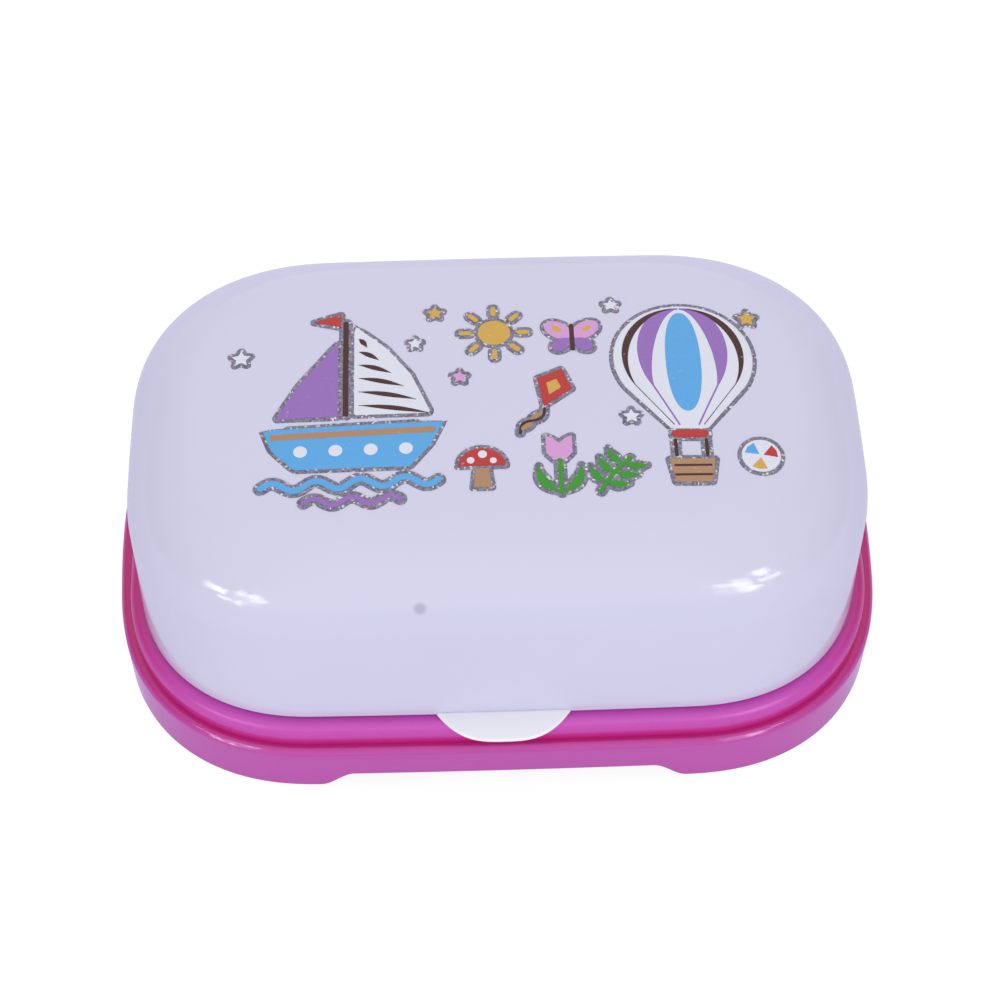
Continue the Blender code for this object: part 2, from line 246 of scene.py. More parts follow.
# Each softbox: azimuths from the front towards +X, elevations, both in degrees, and its brightness
SOFTBOXES = {
    "front_fill": ((-25, 25), (5, 25), 1.2),
    "left_blind": ((-58, -46), (12, 18), 9.0),
    "left_slat": ((-49, -42), (6.5, 9.5), 8.5),
    "left_pane": ((-41, -37), (17.5, 21.5), 9.6),
    "left_bar": ((-35, -29), (15.5, 20), 8.6),
    "left_sill": ((-32, -25), (11.5, 14.5), 8.6),
    "left_foot": ((-39, -36), (4, 9), 8.6),
    "left_haze": ((-42, -27), (5, 20), 1.5),
    "right_haze": ((17, 34), (8, 21), 1.7),
    "right_bar": ((19, 30), (18, 22), 4.2),
    "right_blind": ((27, 35), (8, 26), 5.0),
    "right_pane": ((40, 47), (24, 31), 9.0),
    "right_slat": ((39, 51), (17, 20.5), 7.6),
    "right_sill": ((33, 39), (11, 14.5), 6.8),
}


def outline(inset, radius):
    """The case seen from above, drawn in by inset, as (n, 2) points. Each corner is a quarter of
    |x|^p + |y|^p = 1 scaled by its radius, stepped evenly along its length; straight stretches join
    the corners, with finer steps at their ends; then each side is drawn in by SIDE_BOW_SHARE times
    the square of the distance from its middle."""
    half = np.array([case_length, case_depth]) / 2 - inset
    corner = min(radius, FULL_END_SHARE * half[1])
    turn = np.linspace(0, np.pi / 2, FINE_STEPS)
    fine = np.stack([np.cos(turn), np.sin(turn)], 1).clip(0) ** (2 / CORNER_POWER)
    travel = np.concatenate([[0], np.cumsum(np.linalg.norm(np.diff(fine, axis=0), axis=1))])
    even = np.linspace(0, travel[-1], CORNER_STEPS + 1)
    curve = np.stack([np.interp(even, travel, fine[:, 0]), np.interp(even, travel, fine[:, 1])], 1)
    quarter = half - corner + corner * curve
    corners = [quarter, quarter[::-1] * (-1, 1), -quarter, quarter[::-1] * (1, -1)]
    stretches = []
    for index, points in enumerate(corners):
        following = corners[(index + 1) % 4][0]
        steps = (LONG_STEPS, SHORT_STEPS)[index % 2]
        share = (1 - np.cos(np.pi * np.arange(1, steps)[:, None] / steps)) / 2
        stretches += [points, points[-1] + share * (following - points[-1])]
    points = np.concatenate(stretches)
    return points * (1 - SIDE_BOW_SHARE * (points[:, ::-1] / half[::-1]) ** 2)


def ring(inset, height, radius):
    """The outline at one height, as (n, 3) points."""
    flat = outline(inset, radius)
    return np.column_stack([flat, np.full(len(flat), height)])


def arc(centre, radius, start, end, steps):
    """Points of an arc round a centre, c + r (cos t, sin t), with t in quarter turns; an elliptic
    arc has two radii."""
    turn = np.pi / 2 * np.linspace(start, end, steps + 1)
    return np.array(centre) + np.array(radius) * np.column_stack([np.cos(turn), np.sin(turn)])


def circle(sides):
    """Evenly spaced points of a unit circle."""
    turn = 2 * np.pi * np.arange(sides) / sides
    return np.column_stack([np.cos(turn), np.sin(turn)])


def run(start, end, steps):
    """Evenly spaced (inset, height) pairs from start up to, but without, end."""
    share = np.arange(steps)[:, None] / steps
    return np.array(start) + share * (np.array(end) - np.array(start))


def loft(rows):
    """A closed skin through closed rows of equal count: a quad between each two neighbours of two
    neighbouring rows, and a fan from the first and the last row to its own middle."""
    rows = np.asarray(rows)
    count, around = rows.shape[:2]
    points = np.concatenate([rows.reshape(-1, 3), rows[[0, -1]].mean(1)])
    index = np.arange(count * around).reshape(count, around)
    after = np.roll(index, -1, 1)
    quads = np.stack([index[:-1], after[:-1], after[1:], index[1:]], -1).reshape(-1, 4)
    first = np.full(around, count * around)
    fans = np.concatenate(
        [
            np.stack([after[0], index[0], first], -1),
            np.stack([index[-1], after[-1], first + 1], -1),
        ]
    )
    return outward(points, [quads, fans])


def in_plane(axis, flat, place):
    """Flat pairs as points in the plane across an axis at a place: they are (y, z) across X and
    (x, y) across Z."""
    column = np.full(len(flat), place)
    return np.column_stack([column, flat] if axis == "X" else [flat, column])


def prism(flat, start, end, axis):
    """A flat outline carried along an axis from start to end, with one face at each end."""
    around = len(flat)
    index = np.arange(around)
    after = np.roll(index, -1)
    sides = np.stack([index, after, after + around, index + around], -1)
    caps = np.stack([index[::-1], index + around])
    return outward(np.concatenate([in_plane(axis, flat, place) for place in (start, end)]), [sides, caps])


def outward(points, groups):
    """Turns every face round if the closed skin's signed volume is negative: the sum over the faces
    of corner 1 times the cross product of corners 2 and 3, each face fanned from its first corner."""
    volume = 0
    for faces in groups:
        for step in range(1, faces.shape[1] - 1):
            a, b, c = points[faces[:, 0]], points[faces[:, step]], points[faces[:, step + 1]]
            volume += np.einsum("ij,ij->", a - points[0], np.cross(b - points[0], c - points[0]))
    return points, [faces[:, ::-1] for faces in groups] if volume < 0 else groups


def build(name, skins, materials=(), numbers=None):
    """One object from (points, face groups) skins, unturned and at the origin. Each skin has the
    material of its number, or the first one."""
    points, faces, slots = [], [], []
    start = 0
    for (skin_points, groups), number in zip(skins, numbers or [0] * len(skins)):
        points.append(skin_points)
        for group in groups:
            faces += (group + start).tolist()
            slots += [number] * len(group)
        start += len(skin_points)
    mesh = bpy.data.meshes.new(name)
    mesh.from_pydata(np.concatenate(points).tolist(), [], faces)
    for material in materials:
        mesh.materials.append(material)
    mesh.polygons.foreach_set("material_index", np.array(slots, np.int32))
    mesh.update()
    made = bpy.data.objects.new(name, mesh)
    bpy.context.scene.collection.objects.link(made)
    return made


def shade(piece):
    """Shades a piece smooth, up to the angle that counts as an edge."""
    piece.data.shade_smooth()
    piece.data.set_sharp_from_angle(angle=SHARP_ANGLE)


def rounded(tool, width):
    """Rounds a tool's sharp edges before it is joined."""
    bevel = tool.modifiers.new("Rounding", "BEVEL")
    bevel.width = width
    bevel.segments = BEVEL_STEPS
    bevel.limit_method = "ANGLE"
    bevel.angle_limit = SHARP_ANGLE
    return tool


def combine(piece, tool, operation):
    """Joins a tool to the piece, or cuts it away, and removes the tool."""
    step = piece.modifiers.new(operation.title(), "BOOLEAN")
    step.operation = operation
    step.object = tool
    graph = bpy.context.evaluated_depsgraph_get()
    mesh = bpy.data.meshes.new_from_object(piece.evaluated_get(graph))
    piece.modifiers.clear()
    spent = (piece.data, tool.data)
    piece.data = mesh
    bpy.data.objects.remove(tool)
    for old in spent:
        bpy.data.meshes.remove(old)
    mesh.name = piece.name


def rod(radius, start, end, centre, axis="X", dome=0.0):
    """A round bar about centre, along X or Z: a circle carried along the axis, whose radius falls
    by a quarter circle over the last dome of each end."""
    profile = np.array([(radius, 0)])
    if dome:
        profile = arc((radius - dome, dome), dome, -1, 0, ARC_STEPS - 1)
    near = profile + (0, start)
    far = (0, end) + profile[::-1] * (1, -1)
    sides = circle(ROUND_SIDES)
    return loft([in_plane(axis, centre + size * sides, place) for size, place in (*near, *far)])


def hinge_middles():
    """The middle of each knuckle along X."""
    return (pin_middle, -pin_middle)


def bores(name, half_width):
    """Cutters for the pins' bores, one at each knuckle."""
    radius = pin_radius + PIN_CLEARANCE
    spans = [(middle - half_width, middle + half_width) for middle in hinge_middles()]
    return build(name, [rod(radius, *span, (hinge_y, hinge_z)) for span in spans])


def arch_lift(points):
    """How far the skirt's foot rises at each point: ARCH_HEIGHT between two feet, falling to zero
    over ARCH_RAMP by the smooth step 3 s^2 - 2 s^3."""
    halves = np.array([FRONT_ARCH_HALF_WIDTH, SIDE_ARCH_HALF_WIDTH])
    share = ((halves - np.abs(points[:, :2])) / ARCH_RAMP).clip(0, 1)
    return ARCH_HEIGHT * (share**2 * (3 - 2 * share)).max(1)


def skirt_roll():
    """The skirt's top edge as (inset, height) pairs: an arc, a flat facet and the rest of the arc."""
    lower = arc((SKIRT_ROLL, 0), SKIRT_ROLL, 1 + ROLL_FACET_TURN, 2, ARC_STEPS)
    upper = arc((SKIRT_ROLL, 0), SKIRT_ROLL, 1, 1 + ROLL_FACET_TURN, ARC_STEPS)
    slope = math.pi / 2 * ROLL_FACET_TURN
    upper += ROLL_FACET * np.array([math.cos(slope), math.sin(slope)])
    roll = np.concatenate([upper, lower])
    return roll + (0, ledge_low_z - roll[0, 1])


def base_profile():
    """The base's section as (inset, height, lift share) rows: from the tub's floor up and over the
    lip, down the band and the skirt, and back inside the skirt to the tub's underside."""
    band_foot_z = ledge_z + BAND_WALL_SHARE * BAND_HEIGHT
    band_radii = (BAND_INSET - LEDGE_INSET, shoulder_z - band_foot_z)
    lip_round = LIP_WALL / 2
    tub_outer = tub_inset - WALL
    roll = skirt_roll()
    inner = np.concatenate(
        [
            arc((tub_inset + TUB_CORNER, floor_z + TUB_CORNER), TUB_CORNER, 3, 2, ARC_STEPS),
            arc((lip_outer_inset + lip_round, lip_z - lip_round), lip_round, 0, 2, 2 * ARC_STEPS),
            [(lip_outer_inset, shoulder_z)],
            arc((BAND_INSET, band_foot_z), band_radii, 1, 2, 2 * ARC_STEPS),
            [(LEDGE_INSET, ledge_low_z)],
            roll,
        ]
    )
    skirt_top = roll[-1]
    outer_foot = (SKIRT_DRAFT, EDGE_ROUND)
    inner_foot = (SKIRT_DRAFT + WALL, EDGE_ROUND)
    inner_top = (WALL, ledge_low_z - WALL)
    wall = run(skirt_top, outer_foot, 2 * WALL_STEPS)[1:]
    foot = np.concatenate(
        [
            arc((SKIRT_DRAFT + EDGE_ROUND, EDGE_ROUND), EDGE_ROUND, 2, 3, ARC_STEPS // 2),
            arc((SKIRT_DRAFT + WALL - EDGE_ROUND, EDGE_ROUND), EDGE_ROUND, 3, 4, ARC_STEPS // 2),
        ]
    )
    back = run(inner_foot, inner_top, 2 * WALL_STEPS)[1:]
    under = np.concatenate(
        [
            [inner_top],
            [(LEDGE_INSET + WALL, ledge_low_z - WALL / 2)],
            [(BAND_INSET + WALL / 2, shoulder_z - WALL)],
            [(lip_outer_inset - GAP, shoulder_z - WALL)],
            arc((tub_outer + TUB_CORNER, FLOOR_UNDERSIDE + TUB_CORNER), TUB_CORNER, 2, 3, ARC_STEPS),
        ]
    )
    lifts = [
        np.zeros(len(inner)),
        (skirt_top[1] - wall[:, 1]) / (skirt_top[1] - outer_foot[1]),
        np.ones(len(foot)),
        (inner_top[1] - back[:, 1]) / (inner_top[1] - inner_foot[1]),
        np.zeros(len(under)),
    ]
    return np.column_stack([np.concatenate([inner, wall, foot, back, under]), np.concatenate(lifts)])


def to_middle(edge, rise=0.0):
    """Rows from an edge to near its middle, each a smaller copy of it, lifted by rise times 1 minus
    the square of its share."""
    shares = np.linspace(1, 0, CROWN_STEPS + 1)[1:-1]
    return [edge * (share, share, 1) + (0, 0, rise * (1 - share**2)) for share in shares]


def end_swell(points):
    """How far the skirt swells out along X at each point: END_SWELL times (1 - d^2)^2 with its sign,
    where d is its way along Y from END_SWELL_Y in reaches."""
    share = (1 - ((points[:, 1] - END_SWELL_Y) / END_SWELL_REACH) ** 2).clip(0) ** 2
    return END_SWELL * share * np.sign(points[:, 0])


def base_skin():
    """The base's skin: its section carried round the case, with the skirt's foot lifted at the arches
    and its wall swelled at the ends."""
    rows = []
    for inset, height, lift in base_profile():
        row = ring(inset, height, CORNER_RADIUS - inset)
        row[:, 2] += lift * arch_lift(row)
        if inset < LEDGE_INSET:
            row[:, 0] += end_swell(row)
        rows.append(row)
    return loft(to_middle(rows[0])[::-1] + rows + to_middle(rows[-1]))


def crease_shade_shares():
    """Painted shade: how much of the crease's darker, redder colour each point of the base's skin gets,
    exp(-d^2), where d is its distance in the section from the ledge's crease or, for a share of it,
    from the lid's rim under its overhang, in reaches. The band gets a share more of it at the dish's
    ends, painted shade for the dimmer light there, by the fourth power of how far its wall runs along Y."""
    profile = base_profile()[:, :2]
    ledge, rim = (
        np.exp(-(((profile - middle) / CREASE_SHADE_REACH) ** 2).sum(1))
        for middle in ((LEDGE_INSET, ledge_low_z), (LID_INSET, shoulder_z))
    )
    band = (profile[:, 0] <= LID_INSET) & (profile[:, 1] >= ledge_low_z - SKIRT_ROLL / 2)
    along = np.gradient(outline(0, CORNER_RADIUS), axis=0)
    way = END_SHADE_SHARE * (along[:, 1] / np.linalg.norm(along, axis=1)) ** 4
    shares = np.maximum(ledge, RIM_SHADE_SHARE * rim)[:, None]
    shares = shares + (1 - shares) * band[:, None] * way
    ends = np.zeros((CROWN_STEPS - 1) * len(way))
    return np.concatenate([ends, shares.ravel(), ends, [0, 0]])


def ear_outline():
    """A hinge ear from the side: a round eye on a foot that runs down onto the skirt."""
    skirt_y = case_depth / 2 - WALL / 2
    eye = arc((hinge_y, hinge_z), EYE_RADIUS, 0, 2, 2 * ARC_STEPS)
    ends = [(hinge_y - EYE_RADIUS, ledge_z - OVERRUN), (skirt_y, ledge_z - OVERRUN)]
    return np.concatenate([[(skirt_y, ledge_z - EAR_FOOT_HEIGHT)], eye, ends])


def base_piece():
    """The base with its hinge ears joined on and bored, and the shares of its painted crease shade stored.
    """
    base = build("base_moulding", [base_skin()])
    # Painted shade: the crease attribute holds how much of the darker, redder crease colour each point gets
    crease = base.data.attributes.new("crease", "FLOAT", "POINT")
    crease.data.foreach_set("value", crease_shade_shares())
    ear_gap = KNUCKLE_WIDTH / 2 + EAR_CLEARANCE
    ears = [
        prism(ear_outline(), middle + near, middle + near + EAR_WIDTH, "X")
        for middle in hinge_middles()
        for near in (-ear_gap - EAR_WIDTH, ear_gap)
    ]
    combine(base, rounded(build("ears", ears), EDGE_ROUND / 2), "UNION")
    combine(base, bores("ear_bores", ear_gap + EAR_WIDTH + OVERRUN), "DIFFERENCE")
    return base


def lid_rows(thickness):
    """The lid's skin drawn in by thickness, from the rim up: a wall that leans in by its draft, a
    shoulder that follows a circle until its slope is the crown's, and the crown."""
    wall_top_z = lid_top_z - LID_SHOULDER
    middle = LID_INSET + LID_DRAFT + LID_SHOULDER
    radius = LID_SHOULDER - thickness
    slope = math.atan2(2 * LID_CROWN, case_depth / 2 - middle)
    turn = np.linspace(0, np.pi / 2 - slope, SHOULDER_STEPS + 1)
    shoulder = np.column_stack([middle - radius * np.cos(turn), wall_top_z + radius * np.sin(turn)])
    start = (LID_INSET + thickness, rim_z)
    profile = np.concatenate([run(start, shoulder[0], WALL_STEPS), shoulder])
    corner = CORNER_RADIUS - LID_INSET - thickness
    rows = [ring(inset, height, corner) for inset, height in profile]
    return rows + to_middle(rows[-1], LID_CROWN)


def tab_outline():
    """The thumb tab from above, with its root sunk in the lid's wall. Its reach falls from the
    middle to the ends as 1 - |x|^p."""
    across = np.linspace(-1, 1, 6 * ARC_STEPS + 1)
    reach = TAB_REACH * (1 - np.abs(across) ** TAB_POWER)
    root_y = -lid_rear_y + WALL / 2
    tip = np.column_stack([TAB_HALF_WIDTH * across, -lid_rear_y - reach])
    return np.concatenate([[(TAB_HALF_WIDTH, root_y), (-TAB_HALF_WIDTH, root_y)], tip])


def arm_outline():
    """A lid knuckle from the side: a round eye on an arm that runs into the lid's rear wall."""
    root_y = lid_rear_y - WALL / 2
    end = 2 * math.asin((hinge_z - rim_z) / EYE_RADIUS) / math.pi - 2
    eye = arc((hinge_y, hinge_z), EYE_RADIUS, 1, end, 2 * ARC_STEPS)
    return np.concatenate([[(root_y, rim_z), (root_y, hinge_z + EYE_RADIUS)], eye])


def lid_piece():
    """The lid's outer and inner skins with a rounded rim between them, and its tab and knuckles
    joined on."""
    outer = lid_rows(0)
    bend = arc((LID_INSET + EDGE_ROUND, rim_z + EDGE_ROUND), EDGE_ROUND, 2, 3, EDGE_STEPS)
    edge = [ring(inset, height, CORNER_RADIUS - inset) for inset, height in bend]
    lid = build("lid_moulding", [loft(outer[:0:-1] + edge + lid_rows(WALL))])
    tab = build("tab", [prism(tab_outline(), rim_z, rim_z + TAB_THICKNESS, "Z")])
    combine(lid, rounded(tab, TAB_EDGE_ROUND), "UNION")
    arms = [
        prism(arm_outline(), middle - KNUCKLE_WIDTH / 2, middle + KNUCKLE_WIDTH / 2, "X")
        for middle in hinge_middles()
    ]
    combine(lid, rounded(build("arms", arms), EDGE_ROUND / 2), "UNION")
    combine(lid, bores("arm_bores", KNUCKLE_WIDTH / 2 + OVERRUN), "DIFFERENCE")
    return lid


def stadium(x, half_length, half_width, height):
    """A slot's outline along Y at x, with round ends, as (n, 3) points at one height."""
    end = arc((0, half_length - half_width), half_width, 0, 2, ARC_STEPS)
    return in_plane("Z", (x, 0) + np.concatenate([end, -end]), height)


def slot_half_length(x):
    """Half the depth that the tray leaves at x, less its margin."""
    half_length = case_length / 2 - tray_inset
    half_depth = case_depth / 2 - tray_inset
    corner = min(CORNER_RADIUS - tray_inset, FULL_END_SHARE * half_depth)
    beyond = max(abs(x) - (half_length - corner), 0) / corner
    rise = max(1 - beyond**CORNER_POWER, 0) ** (1 / CORNER_POWER)
    return half_depth - corner + corner * rise - SLOT_MARGIN


def flared(low, high, round_by):
    """(widening, height) pairs of a cutter whose ends open out by a quarter circle, which leaves
    rounded edges at low and high."""
    return np.concatenate(
        [
            [(round_by, low - OVERRUN)],
            arc((round_by, low + round_by), round_by, 3, 2, EDGE_STEPS),
            arc((round_by, high - round_by), round_by, 2, 1, EDGE_STEPS),
            [(round_by, high + OVERRUN)],
        ]
    )


def stadiums(xs, half_width, levels):
    """Skins at each x that are stadiums from above, and widen at each height by its level."""
    skins = []
    for x in xs:
        half_length = slot_half_length(x)
        skins.append(loft([stadium(x, half_length + more, half_width + more, z) for more, z in levels]))
    return skins


def tray_piece():
    """The tray's plate with its raised border, with bars and legs joined on, and slots and finger
    notches cut out."""
    bottom = tray_z + TRAY_HEIGHT
    plate_z = bottom + TRAY_PLATE
    border_z = plate_z + TRAY_BORDER_HEIGHT
    inner = tray_inset + TRAY_BORDER_WIDTH
    profile = np.concatenate(
        [
            arc((tray_inset + EDGE_ROUND, bottom + EDGE_ROUND), EDGE_ROUND, 3, 2, EDGE_STEPS),
            arc((tray_inset + EDGE_ROUND, border_z - EDGE_ROUND), EDGE_ROUND, 2, 1, EDGE_STEPS),
            arc((inner - EDGE_ROUND, border_z - EDGE_ROUND), EDGE_ROUND, 1, 0, EDGE_STEPS),
            arc((inner + EDGE_ROUND, plate_z + EDGE_ROUND), EDGE_ROUND, 2, 3, EDGE_STEPS),
        ]
    )
    rows = [ring(inset, height, CORNER_RADIUS - inset) for inset, height in profile]
    tray = build("slotted_tray", [loft(to_middle(rows[0])[::-1] + rows + to_middle(rows[-1]))])

    slot_xs = SLOT_PITCH * (np.arange(SLOT_COUNT) - (SLOT_COUNT - 1) / 2)
    bar_xs = slot_xs[:-1] + SLOT_PITCH / 2
    bar_top = arc((EDGE_ROUND, plate_z + BAR_HEIGHT - EDGE_ROUND), EDGE_ROUND, 2, 1, EDGE_STEPS)
    bar_levels = np.concatenate([[(0, plate_z - TRAY_PLATE / 2)], bar_top]) * (-1, 1)
    combine(tray, build("bars", stadiums(bar_xs, BAR_WIDTH / 2, bar_levels)), "UNION")

    leg_xs, leg_ys = (-LEG_SPACING_X / 2, LEG_SPACING_X / 2), (-LEG_SPACING_Y / 2, LEG_SPACING_Y / 2)
    leg_top_z = bottom + TRAY_PLATE / 2
    legs = [rod(LEG_RADIUS, tray_z, leg_top_z, (x, y), "Z", EDGE_ROUND) for x in leg_xs for y in leg_ys]
    combine(tray, build("legs", legs), "UNION")

    slots = stadiums(slot_xs, SLOT_WIDTH / 2, flared(bottom, plate_z, EDGE_ROUND))
    combine(tray, build("slots", slots), "DIFFERENCE")

    rim = circle(2 * ROUND_SIDES)
    end_x = case_length / 2 - tray_inset
    levels = flared(bottom, border_z, EDGE_ROUND)
    notches = [
        loft([in_plane("Z", (x, 0) + (NOTCH_RADIUS + more) * rim, z) for more, z in levels])
        for x in (-end_x, end_x)
    ]
    combine(tray, build("notches", notches), "DIFFERENCE")
    return tray


def pin_piece(name, middle):
    """A pin through one knuckle and its two ears."""
    ends = (middle - pin_half_length, middle + pin_half_length)
    return build(name, [rod(pin_radius, *ends, (hinge_y, hinge_z), "X", EDGE_ROUND / 2)])


@functools.cache
def crown_edge():
    """The row where the lid's shoulder meets its crown."""
    return lid_rows(0)[WALL_STEPS + SHOULDER_STEPS]


def on_crown(points, height):
    """Lays (x, y) points on the lid's crown, height above it. The crown's height is that of its edge
    plus LID_CROWN times 1 minus the square of the share of the way from the middle to the edge."""
    edge = crown_edge()
    turns = np.arctan2(edge[:, 1], edge[:, 0])
    reaches = np.linalg.norm(edge[:, :2], axis=1)
    reach = np.interp(np.arctan2(points[..., 1], points[..., 0]), turns, reaches, period=2 * np.pi)
    share = np.linalg.norm(points, axis=-1) / reach
    crown = edge[0, 2] + LID_CROWN * (1 - share**2)
    return np.concatenate([points, (crown + height)[..., None]], -1)


def oval(half_width, half_height, power=2.0, turn=0.0):
    """Distances to an outline all round its middle: |x / a|^p + |y / b|^p = 1, turned by degrees."""
    angle = OUTLINE_TURN - math.radians(turn)
    wide = np.abs(np.cos(angle) / half_width) ** power
    high = np.abs(np.sin(angle) / half_height) ** power
    return (wide + high) ** (-1 / power)


def polygon(corners, turn=0.0):
    """Distances to a polygon all round its middle, turned by degrees. The ray d meets the side from a
    to b at the distance (a x b) / (d x (b - a)), where (a x d) / (d x (b - a)) lies between 0 and 1."""
    start = np.array(corners, float)
    end = np.roll(start, -1, 0)
    side = end - start
    angle = OUTLINE_TURN - math.radians(turn)
    ray = np.column_stack([np.cos(angle), np.sin(angle)])[:, None]
    slant = ray[..., 0] * side[:, 1] - ray[..., 1] * side[:, 0]
    slant = np.where(np.abs(slant) < TINY, TINY, slant)
    distance = (start[:, 0] * end[:, 1] - start[:, 1] * end[:, 0]) / slant
    share = (start[:, 0] * ray[..., 1] - start[:, 1] * ray[..., 0]) / slant
    hit = (distance > 0) & (share > -TINY) & (share < 1 + TINY)
    return np.where(hit, distance, np.inf).min(1)


def star(outer, inner, points, turn=90.0):
    """Distances to a star all round its middle."""
    angle = np.pi * np.arange(2 * points) / points
    reach = np.where(np.arange(2 * points) % 2, inner, outer)
    return polygon(np.column_stack([reach * np.cos(angle), reach * np.sin(angle)]), turn)


def grown(reach, margin):
    """An outline grown by a margin: at each angle the farthest point of the circles of that radius
    whose middles are on the outline, r cos t + sqrt(m^2 - r^2 sin^2 t)."""
    apart = OUTLINE_TURN[:, None] - OUTLINE_TURN
    beside = (reach * np.sin(apart)) ** 2
    near = (beside <= margin**2) & (np.cos(apart) > 0)
    far = reach * np.cos(apart) + np.sqrt(np.where(near, margin**2 - beside, 0))
    return np.where(near, far, 0).max(1)


def patch(middle, reach, margin, low, high, power):
    """A closed puffy pad on the crown, with its outline all round its middle. At the share s of the
    way out it is (1 - s^p)^(1/p) of its height."""
    outline_reach = grown(reach, margin) if margin else reach
    share = 1 - (1 - np.arange(1, PATCH_STEPS + 1) / PATCH_STEPS) ** 2
    rise = (1 - share**power) ** (1 / power)
    flat = middle + (share[:, None] * outline_reach)[..., None] * circle(OUTLINE_STEPS)
    rows = on_crown(flat * MM, ((low + (high - low) * rise) * MM)[:, None])
    foot = on_crown(flat[-1] * MM, -SUNK * MM)
    return loft([*rows, foot])


def bezier(points):
    """A smooth path drawn by its control points: the sum of each point times its Bernstein share."""
    step = np.linspace(0, 1, PATH_STEPS + 1)[:, None]
    order = len(points) - 1
    return sum(
        math.comb(order, index) * step**index * (1 - step) ** (order - index) * np.array(point)
        for index, point in enumerate(points)
    )


def wave(start, end, rise, turns):
    """A path from start to end that swings from side to side as a sine."""
    step = np.linspace(0, 1, PATH_STEPS + 1)[:, None]
    start, end = np.array(start, float), np.array(end, float)
    along = end - start
    aside = np.array([-along[1], along[0]]) / np.linalg.norm(along)
    return start + step * along + rise * np.sin(2 * np.pi * turns * step) * aside


def strip(path, half_width, tapered, margin, low, high, power):
    """A closed puffy band along a path with round ends. A tapered band's half width follows half a
    sine; across a band, at the share u of the half width, it is (1 - u^p)^(1/p) of its height."""
    tangent = np.gradient(path, axis=0)
    tangent /= np.linalg.norm(tangent, axis=1)[:, None]
    step = np.linspace(0, 1, len(path))
    share = np.maximum(np.sin(np.pi * step), TAPER_SHARE) if tapered else np.ones(len(path))
    width = half_width * share + margin
    turn = np.linspace(0, np.pi / 2, CAP_STEPS + 1)[1:-1]
    first, last = width[0], width[-1]
    start = path[0] - first * np.cos(turn)[:, None] * tangent[0]
    end = path[-1] + last * np.cos(turn[::-1])[:, None] * tangent[-1]
    path = np.concatenate([start, path, end])
    tangent = np.pad(tangent, ((len(turn), len(turn)), (0, 0)), "edge")
    width = np.concatenate([first * np.sin(turn), width, last * np.sin(turn[::-1])])
    aside = np.column_stack([-tangent[:, 1], tangent[:, 0]])
    shift = np.sin(np.linspace(-np.pi / 2, np.pi / 2, 2 * SECTION_STEPS + 1))
    rise = (1 - np.abs(shift) ** power).clip(0) ** (1 / power)
    shift = np.append(shift, [1, -1])
    height = np.append(low + (high - low) * rise, [-SUNK, -SUNK])
    flat = path[:, None] + (width[:, None] * shift)[..., None] * aside[:, None]
    return loft(on_crown(flat * MM, height * MM))


class Motif:
    """One sticker: coloured inks on a foil whose border shows all round them."""

    def __init__(self, name, settings):
        self.name = name
        self.settings = settings
        self.foils = []
        self.inks = []
        self.colours = []

    def levels(self, level):
        """The lowest and highest point of an ink, in millimetres above the lid. The first level sinks
        a quarter of an ink's height into the foil, each further level is half an ink higher, and a
        small rise that changes from ink to ink keeps their tops apart."""
        foil = self.settings.foil_height / MM
        ink = self.settings.ink_height / MM
        rise = LEVEL_STEP * (len(self.inks) % LEVEL_COUNT)
        return foil + (level - 1.5) * ink / 2, foil + (level + 1) * ink / 2 + rise

    def add(self, ink, level, shape, *sizes):
        """Adds an ink shape, and its foil if it lies straight on the foil."""
        low, high = self.levels(level)
        if level == 1:
            foil = self.settings.foil_height / MM + LEVEL_STEP * (len(self.foils) % LEVEL_COUNT)
            border = self.settings.border / MM
            self.foils.append(shape(*sizes, border, 0, foil, FOIL_POWER))
        self.inks.append(shape(*sizes, 0, low, high, PUFF_POWER))
        self.colours.append(ink)

    def pad(self, ink, middle, reach, level=1):
        """Adds a pad of ink whose outline lies all round its middle."""
        self.add(ink, level, patch, middle, reach)

    def line(self, ink, path, half_width, level=1, tapered=False):
        """Adds a line of ink along a path."""
        self.add(ink, level, strip, path, half_width, tapered)

    def made(self, finishes):
        """The sticker's object, which rides on the lid."""
        names = list(dict.fromkeys(["foil", *self.colours]))
        numbers = [0] * len(self.foils) + [names.index(colour) for colour in self.colours]
        materials = [finishes[name] for name in names]
        piece = build(f"sticker_{self.name}", self.foils + self.inks, materials, numbers)
        shade(piece)
        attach(piece, "lid")
        return piece


def draw_sailboat(motif):
    """A boat under sail on two waves."""
    hull = [(-13, 3), (13, 3.6), (11, -0.6), (8, -4.2), (-8.4, -4.2), (-11.6, -0.8)]
    motif.pad("sky", (-20.6, -8.9), polygon(hull))
    motif.pad("white", (-17.2, 1.6), polygon([(-3.3, 11.6), (1.4, 7), (5, 1.8), (7.8, -5.4), (-3.3, -5.4)]))
    motif.pad("purple", (-25.6, -0.6), polygon([(2.8, 10.6), (2.8, -3.4), (-6.2, -3.4), (-3, 2.6)]))
    motif.line("brown", bezier([(-21.7, 13.6), (-21.7, -3.6)]), 0.4)
    motif.pad("red", (-24.1, 14.2), polygon([(1.7, 1.3), (1.7, -1.3), (-2.4, -0.1)]))
    for index in range(6):
        height = 10.4 - 2.5 * index
        reach = 1.2 + 1.75 * index
        path = bezier([(-19.8, height), (-19.8 + reach / 2, height - 0.4), (-19.8 + reach, height - 1.7)])
        motif.line("brown", path, 0.42, 2, True)
    motif.line("tan", bezier([(-32, -7.3), (-20, -7.1), (-9.4, -6.8)]), 0.55, 2)
    for index in range(4):
        motif.pad("white", (-28.1 + 5 * index, -10), oval(1, 1), 2)
    motif.line("sky", wave((-33.6, -16), (-8.6, -15.4), 0.75, 4), 0.5)
    motif.line("purple", wave((-27.5, -18.7), (-14, -18.4), 0.6, 2.5), 0.4)


